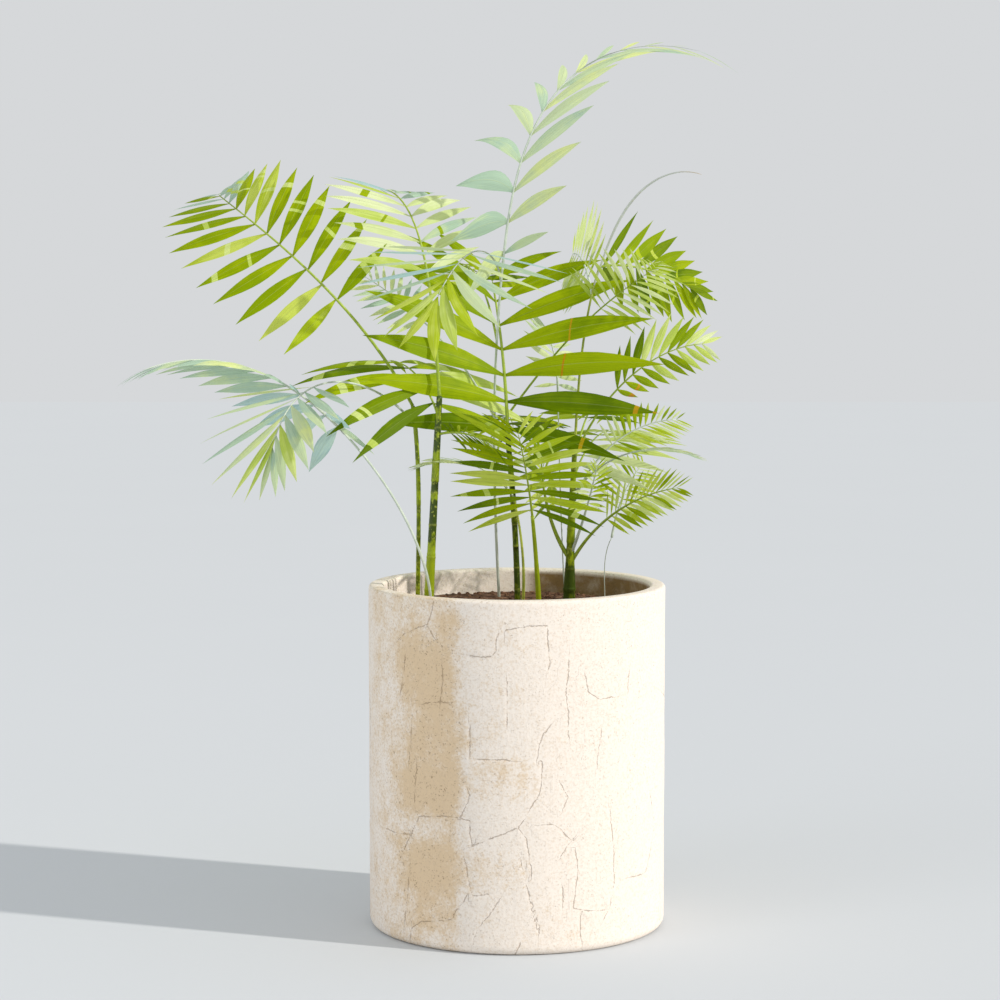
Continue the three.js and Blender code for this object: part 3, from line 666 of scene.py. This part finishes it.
def spun(outline, turns):
    """A round shape from an outline of points (distance from the middle, height)."""
    bm = bmesh.new()
    verts = [bm.verts.new((out * MM, 0, height * MM)) for out, height in outline]
    edges = [bm.edges.new(pair) for pair in zip(verts, verts[1:])]
    bmesh.ops.spin(bm, geom=verts + edges, axis=(0, 0, 1), cent=(0, 0, 0), dvec=(0, 0, 0),
                   angle=2 * math.pi, steps=turns, use_merge=True, use_duplicate=False)
    bmesh.ops.remove_doubles(bm, verts=bm.verts, dist=1e-6)
    return bm


# The canes and stalks. Each ring of their points has a shade and a scar.

STEM_MARKS = ("shade", "scar")
PROFILE_STEP = 6
FIRST_RING = 0.6
RING_ROWS = (-1.6, -0.6, 0.0, 0.6, 1.6)
RING_WIDTH = 1.1
# A sheath clasps fully at its start, less by SHEATH_TAPER at its end, and ends in a lip.
SHEATH_TAPER = 0.55
SHEATH_LIP = 0.5
# The radius as a share of thick, and what a scar, a sheath and a stout foot add to it.
PLAIN_RADIUS = 0.9
SCAR_SWELL = 0.07
SHEATH_SWELL = 0.1
STOUT_SWELL = 0.3
# How dark a stem is, what a tight sheath and a foot painted bright as sunlit leave of it,
# and a stout foot.
USUAL_SHADE = 0.5
TIGHT_FROM = 0.7
SHEATH_SHADE = 0.4
SUNLIT_SHADE = 0.1
STOUT_SHADE = 1.8


def start_stem_mesh():
    bm = bmesh.new()
    for label in STEM_MARKS:
        bm.verts.layers.float.new(label)
    return bm


def ring_places(station, radius, sides, flatness):
    place, _, side, face = station
    turns = (2 * math.pi * i / sides for i in range(sides))
    return [(place + (side * math.cos(t) + face * math.sin(t) * flatness) * radius) * MM
            for t in turns]


def match_order(ring, spots):
    """The spots in the order of a grown ring, which starts out on the ring before it."""
    return [min(spots, key=lambda spot: (spot - vert.co).length_squared) for vert in ring]


def grow_stem(bm, stations, shares, radii, marks, sides=12, flatness=1.0):
    """Grows a closed stem from its first ring, one ring at a time."""
    layers = [bm.verts.layers.float[label] for label in STEM_MARKS]
    ring = bmesh.ops.create_circle(bm, cap_ends=True, segments=sides, radius=1)["verts"]
    end = ring[0].link_faces[0]
    for count, share in enumerate(shares):
        spots = ring_places(station_at(stations, share), radii[count], sides, flatness)
        if count:
            grown = bmesh.ops.extrude_face_region(bm, geom=[end])
            end = next(item for item in grown["geom"] if isinstance(item, bmesh.types.BMFace))
            ring = list(end.verts)
            spots = match_order(ring, spots)
        for vert, spot in zip(ring, spots):
            vert.co = spot
            for layer, mark in zip(layers, marks[count]):
                vert[layer] = mark


def cane_profile(stem):
    """Shares, radii and marks along a stem: its taper, ring scars and clasping leaf bases."""
    length = stem["length"]
    foot, top = stem["thick"]
    rings, sheaths = stem.get("rings", 0), stem.get("sheaths", ())
    scars = [rings * (k + FIRST_RING) for k in range(int(length / rings))] if rings else []
    spots = set(range(0, length, PROFILE_STEP)) | {length}
    spots |= {scar + row for scar in scars for row in RING_ROWS}
    for start, end in sheaths:
        spots |= {start - 1, start + 1, end - 3, end - SHEATH_LIP, end}
    shares, radii, marks = [], [], []
    for spot in sorted(s for s in spots if 0 <= s <= length):
        share = spot / length
        near = max((math.exp(-((spot - scar) / RING_WIDTH) ** 2) for scar in scars), default=0.0)
        clasp = max((1.0 - SHEATH_TAPER * (spot - start) / (end - start)
                     for start, end in sheaths if start <= spot <= end - SHEATH_LIP), default=0.0)
        radius = foot + (top - foot) * share
        radius *= PLAIN_RADIUS + SCAR_SWELL * near + SHEATH_SWELL * clasp
        shade = stem.get("dark", USUAL_SHADE) * (SHEATH_SHADE if clasp > TIGHT_FROM else 1.0)
        # Below sunlit_to the cane is painted plain and bright, as sunlight below a shadow's edge.
        if spot < stem.get("sunlit_to", 0):
            shade *= SUNLIT_SHADE
        if spot < stem.get("dark_to", 0):
            shade = STOUT_SHADE
            radius *= 1 + STOUT_SWELL * (1 - spot / stem["dark_to"])
        shares.append(share)
        radii.append(radius)
        marks.append((shade, near * (1.0 - clasp)))
    return shares, radii, marks


def make_canes(name, stems, finish):
    bm = start_stem_mesh()
    for stem in stems:
        grow_stem(bm, routes[stem], *cane_profile(STEMS[stem]))
    piece = piece_of(name, bm, finish)
    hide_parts(*stems)


# Leaflets: in pairs by their solids' rule, each with its own outline, keel, curl and marks.

WIDEST = 0.35
SHORT = 0.15
TAPER = 0.5
CURL = 0.03
FIRST_GAP = 0.3
BLADE_PITCH = 14.0
TIP_FROM = 0.7
LOW_TO = 0.3
# The outline as (share of the length, fullness), and the columns of points across.
OUTLINE = ((0.0, 0.11), (0.04, 0.19), (0.1, 0.36), (0.18, 0.58), (0.28, 0.81), (0.38, 0.95),
           (0.48, 1.0), (0.58, 0.94), (0.68, 0.79), (0.78, 0.56), (0.87, 0.32), (0.94, 0.14))
COLUMNS = (-1.0, -0.5, 0.0, 0.5, 1.0)
KEEL = 0.2
KEEL_CURVE = 1.4
# Where stripes of painted sunlight and shade start and how long they are, as shares of a
# leaflet's length.
STRIPE_START = (0.2, 0.85)
STRIPE_LENGTH = (0.03, 0.1)
STRIPES_ELSEWHERE = 0.2
MARKS_TO = 0.97
# How far leaflets differ by chance. slip moves one along the rib, bow bends it sideways, and
# slant sets its rows of points askew. twist is in radians, spread and pitch in degrees.
VARIED = dict(slip=(-0.003, 0.003), length=(0.95, 1.01), spread=(-2.5, 2.5), pitch=(-8, 8),
              wide=(0.92, 1.04), droop=(0.8, 1.25), curl=(0.5, 1.4), bow=(-0.004, 0.014),
              twist=(-0.35, 0.35), slant=(-0.9, 0.9))


def length_share(frond, up):
    """A pair's length against the longest pair's, by its place on the leafy part of the rib."""
    if up < WIDEST:
        return 1 - frond.get("short", SHORT) * ((WIDEST - up) / WIDEST) ** 2
    return 1 - frond.get("taper", TAPER) * ((up - WIDEST) / (1 - WIDEST)) ** 2


def dealt_finish(deal, up, hand, chance):
    if up > TIP_FROM and "tip" in deal:
        return chance.choice(deal["tip"])
    if up < LOW_TO and "low" in deal:
        return chance.choice(deal["low"])
    return chance.choice(deal["right"] if hand > 0 else deal.get("left", deal["right"]))


def dealt_marks(frond, pair, hand, chance):
    """Stretches of a leaflet in another finish: stripes of painted sunlight and shade dealt by
    chance, burnt ones given.
    """
    marks = []
    often, finish = frond.get("sun_shade_stripes", (0, ""))
    if frond.get("striped_hand", hand) != hand:
        often *= STRIPES_ELSEWHERE
    for _ in range(2):
        start, long = chance.uniform(*STRIPE_START), chance.uniform(*STRIPE_LENGTH)
        if chance.random() < often:
            marks.append((start, start + long, finish))
    for spot, side, start, end in frond.get("burnt", ()):
        if (spot, side) == (pair, hand):
            marks.append((start, end, "leaf_burnt"))
    return marks


def leaflet_spread(frond, up, hand):
    """The angle in degrees between a leaflet and the rib, which closes toward the tip."""
    low, high = frond["spread"] if hand > 0 else frond.get("spread_left", frond["spread"])
    closed = (1 - up) ** frond.get("closing", 1)
    return high + (low - high) * closed + hand * frond.get("skew", 0)


def leaflets_of(name, frond, chance):
    """A frond's leaflets in pairs, placed by its solid's rule and each a little different."""
    def vary(what):
        return chance.uniform(*VARIED[what])

    lift = math.radians(frond.get("lift", 0))
    gaps = frond["pairs"] - 1
    leaflets = []
    for pair in range(frond["pairs"]):
        up = pair / gaps
        share = frond["bare"] + (1 - frond["bare"]) * (pair + FIRST_GAP) / (gaps + FIRST_GAP)
        size = length_share(frond, up)
        left = frond.get("left", 1) * (1 - frond.get("fade", 0) * up)
        for hand in (1, -1):
            place, along, side, face = station_at(routes[name], share + vary("slip"))
            length = frond["leaf"] * size * (1 if hand > 0 else left) * vary("length")
            spread = math.radians(leaflet_spread(frond, up, hand) + vary("spread"))
            pitch = math.radians(frond.get("pitch", BLADE_PITCH) + vary("pitch"))
            outward = side * hand * math.cos(lift) + face * math.sin(lift)
            way = along * math.cos(spread) + outward * math.sin(spread)
            level = (along - way * along.dot(way)).normalized()
            across = level * math.cos(pitch) + way.cross(level) * hand * math.sin(pitch)
            wide = frond["wide"] * size * (1 - frond.get("thin", 0) * up)
            curl, sickle = frond.get("curl", CURL), frond.get("sickle", 0)
            if hand < 0:
                wide *= frond.get("left_wide", 1)
                if "sickle_left" in frond:
                    curl, sickle = frond["curl_left"] * (1 - up), frond["sickle_left"] * (1 - up)
                    wide *= 1 - up
            leaflets.append(dict(
                root=place, way=way, along=along, across=across,
                upper=way.cross(across) * hand, hand=hand, length=length,
                wide=wide * vary("wide"), droop=frond.get("droop", 0) * vary("droop"),
                sickle=sickle, curl=curl * vary("curl"), bow=vary("bow"), twist=vary("twist"),
                slant=vary("slant"), full=frond.get("full", 1), tone=chance.random(),
                finish=dealt_finish(frond["deal"], up, hand, chance),
                marks=dealt_marks(frond, pair, hand, chance)))
    return leaflets


def spine_place(leaflet, share):
    """The middle of a leaflet at a share of its length: it droops, bends and curls to its tip."""
    length = leaflet["length"]
    bent = length * share * share
    spine = leaflet["root"] + leaflet["way"] * length * share
    spine += leaflet["along"] * leaflet["sickle"] * bent
    spine += leaflet["across"] * leaflet["bow"] * 4 * length * share * (1 - share)
    spine -= leaflet["upper"] * leaflet["curl"] * bent * share
    spine.z -= leaflet["droop"] * bent
    return spine


def leaflet_rows(leaflet):
    """The shares of the rows across a leaflet, with one at each end of every mark."""
    ends = {spot for mark in leaflet["marks"] for spot in mark[:2] if spot < MARKS_TO}
    return sorted({share for share, _ in OUTLINE} | ends)


def finish_at(leaflet, share):
    for start, end, finish in leaflet["marks"]:
        if start <= share <= end:
            return finish
    return leaflet["finish"]


def blade_points(leaflet, rows):
    """The points of a leaflet row by row and its tip, and their places across and along it."""
    shares, fullnesses = zip(*OUTLINE, (1.0, 0.0))
    points, blade = [], []
    for share in rows:
        turn = leaflet["twist"] * share
        across = leaflet["across"] * math.cos(turn) + leaflet["upper"] * math.sin(turn)
        upper = leaflet["upper"] * math.cos(turn) - leaflet["across"] * math.sin(turn)
        slanted = leaflet["slant"] * leaflet["wide"] / leaflet["length"] * share * (1 - share)
        for column in COLUMNS:
            spot = share + slanted * column
            fullness = float(np.interp(spot, shares, fullnesses)) ** leaflet["full"]
            half = leaflet["wide"] / 2 * fullness
            sag = KEEL * half * abs(column) ** KEEL_CURVE
            points.append((spine_place(leaflet, spot) + across * half * column - upper * sag) * MM)
            blade.append((0.5 + column / 2, spot))
    points.append(spine_place(leaflet, 1.0) * MM)
    blade.append((0.5, 1.0))
    return points, blade


def blade_mesh(name, leaflets):
    """All leaflets of a frond as one mesh, with a UV map across and along each blade."""
    finish_names = sorted({leaflet["finish"] for leaflet in leaflets}
                          | {mark[2] for leaflet in leaflets for mark in leaflet["marks"]})
    points, faces, uvs, slots, tones = [], [], [], [], []
    wide = len(COLUMNS)
    for leaflet in leaflets:
        first = len(points)
        rows = leaflet_rows(leaflet)
        tip = len(rows) * wide
        own_points, blade = blade_points(leaflet, rows)
        points += own_points
        tones += [leaflet["tone"]] * (tip + 1)
        for row, share in enumerate(rows):
            past = rows[row + 1] if row + 1 < len(rows) else 1.0
            slot = finish_names.index(finish_at(leaflet, (share + past) / 2))
            for a in range(row * wide, row * wide + wide - 1):
                corners = (a, a + 1, a + wide + 1, a + wide) if past < 1.0 else (a, a + 1, tip)
                if leaflet["hand"] > 0:
                    corners = corners[::-1]
                faces.append([first + corner for corner in corners])
                uvs += [blade[corner] for corner in corners]
                slots.append(slot)
    mesh = bpy.data.meshes.new(name)
    mesh.from_pydata(points, [], faces)
    layer = mesh.uv_layers.new(name="blade")
    layer.data.foreach_set("uv", np.array(uvs, dtype=np.float32).ravel())
    mesh.polygons.foreach_set("material_index", slots)
    mark_points(mesh, "tone", tones)
    mesh.update()
    return mesh, finish_names


def make_fronds():
    chance = random.Random(SEED)
    for name, frond in FRONDS.items():
        leafy = name + "_leaflets"
        piece = add_piece(leafy, *blade_mesh(leafy, leaflets_of(name, frond, chance)))
        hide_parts(*frond.get("nodes", (name,)))


# The ribs, and the spear, which is an unopened leaf.

RIB = (1.6, 0.55)
RIB_END = 0.25
RIB_STEPS = 28
RIB_SIDES = 6
RIB_MARKS = (0.5, 0.0)
SPEAR_WIDTHS = ((0.0, 1.5), (0.15, 1.9), (0.4, 2.5), (0.6, 2.3), (0.8, 1.5), (0.93, 1.0),
                (1.0, 0.5))
SPEAR_STEPS = 40
SPEAR_FLATNESS = 0.7
SPEAR_SHADE = 0.4
DRY_FROM = 0.85
DRYING = 12


def make_ribs(name, fronds, finish):
    """The ribs of some fronds as one piece."""
    bm = start_stem_mesh()
    shares = [i / RIB_STEPS for i in range(RIB_STEPS + 1)]
    for frond in fronds:
        foot, tip = FRONDS[frond].get("rib", RIB)
        radii = [foot + (tip - foot) * share for share in shares]
        radii[-1] = RIB_END
        grow_stem(bm, routes[frond], shares, radii, [RIB_MARKS] * len(shares), RIB_SIDES)
    piece_of(name, bm, finish)


def make_spear():
    """The unopened leaf: a narrow folded strap, dry and tan toward its tip."""
    bm = start_stem_mesh()
    shares = [i / SPEAR_STEPS for i in range(SPEAR_STEPS + 1)]
    radii = [float(np.interp(share, *zip(*SPEAR_WIDTHS))) for share in shares]
    marks = [(SPEAR_SHADE, max(0.0, (share - DRY_FROM) * DRYING)) for share in shares]
    grow_stem(bm, routes["spear_right"], shares, radii, marks, RIB_SIDES, SPEAR_FLATNESS)
    piece = piece_of("spear_right_strap", bm, "dry_strap")
    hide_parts("spear_right")


# The pot.

POT_TURNS = 400
WALL_ROWS = 140
# Lumps of its surface, as (how close together, how high). They grow over these distances
# from the middle and heights, and go half as far inside the wall.
LUMPS = ((14, 0.55), (60, 0.22))
LUMPY_OUT = (60, 100)
LUMPY_UP = (0, 8)
INSIDE_PUSH = -0.5
# Where painted shade browns the inside of the wall below the rim, by angle and by height.
INNER_SHADE_ANGLES = (60, 74, 170, 176)
INNER_SHADE_HEIGHTS = (POT_HEIGHT - 6, POT_HEIGHT - 3)
# A crack is a groove, and the stone on one side of it stands a little higher.
LIP_HEIGHT = 0.28
LIP_REACH = 7
GROOVE_DEPTH = 0.25
GROOVE_REACH = 1.6
NO_CRACK = 60.0
HIDDEN_CRACKS = 34
HIDDEN_ANGLES = (72, 288)
CRACK_HEIGHTS = (15, 390)
CRACK_ENDS = (3, 400)
CRACK_POINTS = (3, 7)
UPRIGHT_SHARE = 0.65
# How far an upright and a level crack goes from point to point: around, and down.
UPRIGHT_STEP = ((-1.6, 1.6), (8, 24))
LEVEL_STEP = ((2, 5), (-6, 6))


def crack_segments():
    """Short straight stretches of every crack: those of the shown side, and others by chance
    around the rest, as (length around the wall, height)."""
    chance = random.Random(SEED + 1)
    lines = [[(math.radians(angle) * POT_RADIUS, height) for angle, height in line]
             for line in CRACKS]
    for _ in range(HIDDEN_CRACKS):
        angle, height = chance.uniform(*HIDDEN_ANGLES), chance.uniform(*CRACK_HEIGHTS)
        around, down = UPRIGHT_STEP if chance.random() < UPRIGHT_SHARE else LEVEL_STEP
        line = []
        for _ in range(chance.randint(*CRACK_POINTS)):
            line.append((math.radians(angle) * POT_RADIUS, float(np.clip(height, *CRACK_ENDS))))
            angle += chance.uniform(*around)
            height -= chance.uniform(*down)
        lines.append(line)
    return [(a, b) for line in lines for a, b in zip(line, line[1:])]


def crack_distance(turned, height):
    """The signed distance in mm from each wall point to the nearest crack."""
    nearest = np.full(len(turned), NO_CRACK)
    around = 2 * math.pi * POT_RADIUS
    for (x0, z0), (x1, z1) in crack_segments():
        way = np.array((x1 - x0, z1 - z0))
        long = max(float(np.hypot(*way)), 1e-6)
        way /= long
        off = (turned - x0 + around / 2) % around - around / 2
        rise = height - z0
        on = np.clip(off * way[0] + rise * way[1], 0, long)
        gap = np.hypot(off - on * way[0], rise - on * way[1])
        side = np.where(off * way[1] - rise * way[0] < 0, -1.0, 1.0)
        nearest = np.where(gap < np.abs(nearest), gap * side, nearest)
    return nearest


def stain_and_shade_at(degrees, z):
    """How stained and shaded the stone is: a wash of painted shade and an upright band of stain
    and painted shade on its left, and patches of stain, partly painted shade.
    """
    stain_and_shade = sum(np.interp(degrees, *zip(*band)) for band in (STAIN_AND_SHADE_BAND, SHADE_WASH))
    chance = random.Random(SEED + 2)
    hidden = [[chance.uniform(*limits) for limits in HIDDEN_STAIN] for _ in range(HIDDEN_STAINS)]
    for middle, height, wide, tall, strength in STAIN_AND_SHADE_PATCHES + hidden:
        off = (degrees - middle + 180) % 360 - 180
        stain_and_shade += strength * np.exp(-((off / wide) ** 4) - ((z - height) / tall) ** 4)
    return stain_and_shade


def rounded(across, height, radius, first, step, count):
    """Points of a rounded edge about its middle, in steps of some degrees from the first."""
    turns = [math.radians(first + step * i) for i in range(count)]
    return [(across + radius * math.cos(turn), height + radius * math.sin(turn))
            for turn in turns]


def pot_profile():
    """The pot's outline from the middle of its underside, up the wall, over the rim, down."""
    outer, inner = POT_RADIUS, POT_RADIUS - POT_WALL
    low, high = POT_FOOT_ROUND, POT_HEIGHT - POT_RIM_ROUND
    return [
        (0, 0), (60, 0), (120, 0),
        *rounded(outer - POT_FOOT_ROUND, low, POT_FOOT_ROUND, -90, 15, 7),
        *((outer, low + (high - low) * i / WALL_ROWS) for i in range(1, WALL_ROWS)),
        *rounded(outer - POT_RIM_ROUND, high, POT_RIM_ROUND, 0, 18, 6),
        (outer - POT_WALL / 2, POT_HEIGHT),
        *rounded(inner + POT_RIM_ROUND, high, POT_RIM_ROUND, 90, 18, 6),
        *((inner, high - 3 * i) for i in range(1, 13)),
        (inner, 300), (inner, 160), (inner, POT_FLOOR), (inner / 2, POT_FLOOR), (0, POT_FLOOR)]


def make_pot():
    """The pot, with its surface pushed in and out a little by lumps and cracks."""
    bm = spun(pot_profile(), POT_TURNS)
    bmesh.ops.recalc_face_normals(bm, faces=bm.faces)
    mesh = mesh_of("pot_cast_stone", bm)
    spots = np.empty(len(mesh.vertices) * 3)
    mesh.vertices.foreach_get("co", spots)
    spots = spots.reshape(-1, 3)
    x, y, z = (spots / MM).T
    angle = np.arctan2(x, -y)
    degrees = np.degrees(angle)
    across = np.hypot(x, y)
    outside = np.clip((across - (POT_RADIUS - POT_WALL / 2)) / (POT_WALL / 4), 0, 1)
    crack = crack_distance(angle * POT_RADIUS, z)
    inner_shade = (1 - outside) * np.interp(degrees, INNER_SHADE_ANGLES, (0, 1, 1, 0))
    inner_shade *= np.interp(z, INNER_SHADE_HEIGHTS, (1, 0))
    lumps = np.array([sum(noise.noise(Vector(spot) * close) * high for close, high in LUMPS)
                      for spot in spots])
    lip = LIP_HEIGHT * np.sign(crack) * np.exp(-np.abs(crack) / LIP_REACH)
    lip -= GROOVE_DEPTH * np.exp(-((crack / GROOVE_REACH) ** 2))
    lumpy = np.interp(across, LUMPY_OUT, (0, 1)) * np.interp(z, LUMPY_UP, (0, 1))
    push = (lumps + lip * outside) * lumpy * np.where(outside > 0.5, 1, INSIDE_PUSH) * MM
    level = np.stack((x, y, np.zeros(len(x))), axis=1) / np.maximum(across, 1)[:, None]
    spots += level * push[:, None]
    mesh.vertices.foreach_set("co", spots.ravel())
    mark_points(mesh, "crack", np.where(outside > 0.5, crack, NO_CRACK))
    # stain: stains, and painted shade on the pot's left side.
    mark_points(mesh, "stain_and_shade", stain_and_shade_at(degrees, z))
    # damp: painted shade inside the wall on the right and back, below the rim.
    mark_points(mesh, "inner_shade", inner_shade)
    mesh.update()
    piece = add_piece("pot_cast_stone", mesh, ["cast_stone"])
    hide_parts("pot")


# The soil.

SOIL_RING = 4.0
SOIL_TURNS = 160
LUMP_HEIGHT = 2.2
GRIT_HEIGHT = 0.8
CRUMBS = 420
CRUMBS_OUT_TO = 0.97
CRUMB_SIZE = (1.2, 3.6)
CRUMB_SINK = 0.3
CRUMB_FLATNESS = 0.7
CRUMB_ROUGHNESS = 0.5


def soil_height(out):
    """The height of the soil at a distance from its middle."""
    slope = max(0.0, out - SOIL_FLAT_RADIUS) / (SOIL_RADIUS - SOIL_FLAT_RADIUS)
    return SOIL_TOP - (SOIL_TOP - SOIL_EDGE) * slope


def make_soil():
    """The soil's crumbly top, closed below, with loose crumbs pressed into it."""
    radii = [i * SOIL_RING for i in range(int(SOIL_RADIUS / SOIL_RING))] + [SOIL_RADIUS]
    outline = [(radius, 0) for radius in radii] + [(SOIL_RADIUS, -SOIL_DEPTH), (0, -SOIL_DEPTH)]
    bm = spun(outline, SOIL_TURNS)
    for vert in bm.verts:
        if vert.co.z > -SOIL_DEPTH / 2 * MM:
            out = math.hypot(vert.co.x, vert.co.y) / MM
            lump = noise.fractal(vert.co * 45, 0.6, 2.0, 4) * LUMP_HEIGHT
            grit = noise.noise(vert.co * 260) * GRIT_HEIGHT
            vert.co.z = (soil_height(out) - GRIT_HEIGHT + lump + grit) * MM
        else:
            vert.co.z = (SOIL_EDGE - SOIL_DEPTH) * MM
    chance = random.Random(SEED + 3)
    for _ in range(CRUMBS):
        out = SOIL_RADIUS * CRUMBS_OUT_TO * math.sqrt(chance.random())
        turn = chance.uniform(0, 2 * math.pi)
        size = chance.uniform(*CRUMB_SIZE) * MM
        made = bmesh.ops.create_icosphere(bm, subdivisions=1, radius=size)
        sunk = soil_height(out) - CRUMB_SINK
        centre = Vector((out * math.cos(turn), out * math.sin(turn), sunk)) * MM
        for vert in made["verts"]:
            vert.co.z *= CRUMB_FLATNESS
            vert.co *= 1 + CRUMB_ROUGHNESS * noise.noise(vert.co * 300 + centre * 900)
            vert.co += centre
    bmesh.ops.recalc_face_normals(bm, faces=bm.faces)
    piece = piece_of("soil_bed", bm, "potting_soil")
    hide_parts("soil")


# The room around it, in metres.

FLOOR_HALF = 12
AIMED_AT = Vector((0, 0, 0.5))
KEY_LIGHT = dict(place=(3.4, -1.25, 2.3), color=(1.0, 0.955, 0.89), energy=2.6,
                 angle=math.radians(1.5))
FILL_LIGHT = dict(place=(-3.0, -2.6, 1.4), color=(0.92, 0.96, 1.0), energy=26, shape="DISK",
                  size=2.0)
ROOM_COLOUR = (0.96, 0.98, 1.0, 1)
ROOM_LIGHT = 0.7
CAMERA_PLACE = (-0.02, -3.3, 0.79)
CAMERA_DOWN = 0.0865
CAMERA_LENS = 101.16


def make_floor():
    bm = bmesh.new()
    bmesh.ops.create_grid(bm, x_segments=2, y_segments=2, size=FLOOR_HALF)
    mesh = mesh_of("floor", bm)
    mesh.materials.append(floor_finish())
    floor = into_scene("floor", mesh)


def add_light(kind, name, place, **settings):
    """A lamp that is aimed at the middle of the plant."""
    light = bpy.data.lights.new(name, kind)
    for key, value in settings.items():
        setattr(light, key, value)
    lamp = into_scene(name, light)
    lamp.location = place
    lamp.rotation_euler = (AIMED_AT - Vector(place)).to_track_quat("-Z", "Y").to_euler()


def make_studio():
    """A warm key light from the right, a weak fill from the left, and a soft even room."""
    add_light("SUN", "key_light", **KEY_LIGHT)
    add_light("AREA", "fill_light", **FILL_LIGHT)
    world = bpy.data.worlds.new("soft_room")
    world.use_nodes = True
    backing = world.node_tree.nodes["Background"]
    backing.inputs["Color"].default_value = ROOM_COLOUR
    backing.inputs["Strength"].default_value = ROOM_LIGHT
    bpy.context.scene.world = world
    bpy.context.scene.view_settings.view_transform = "Standard"


def make_camera():
    """The photograph's viewpoint: 3.3 m in front, 0.79 m up, looking down five degrees."""
    lens = bpy.data.cameras.new("viewpoint")
    lens.sensor_fit = "HORIZONTAL"
    lens.sensor_width = 36
    lens.lens = CAMERA_LENS
    camera = into_scene("viewpoint", lens)
    camera.location = CAMERA_PLACE
    camera.rotation_euler = (math.pi / 2 - CAMERA_DOWN, 0, 0)
    bpy.context.scene.camera = camera


make_camera()
make_studio()
make_floor()
make_pot()
make_soil()
PLAIN_STALKS = [name for name in STEMS if name not in GREEN_CANES + SPOTTED_STALKS]
make_canes("green_canes", GREEN_CANES, "green_cane")
make_canes("spotted_stalks", SPOTTED_STALKS, "spotted_stalk")
# The plain stalks take pale_stalk, painted skylight.
make_canes("pale_stalks", PLAIN_STALKS, "pale_stalk")
make_fronds()
PALE_RIBBED = [name for name in FRONDS if FRONDS[name]["slot"] in ("leaf_blue", "leaf_pale")]
make_ribs("green_ribs", [name for name in FRONDS if name not in PALE_RIBBED], "leaf_rib")
make_ribs("pale_ribs", PALE_RIBBED, "pale_stalk")
make_spear()
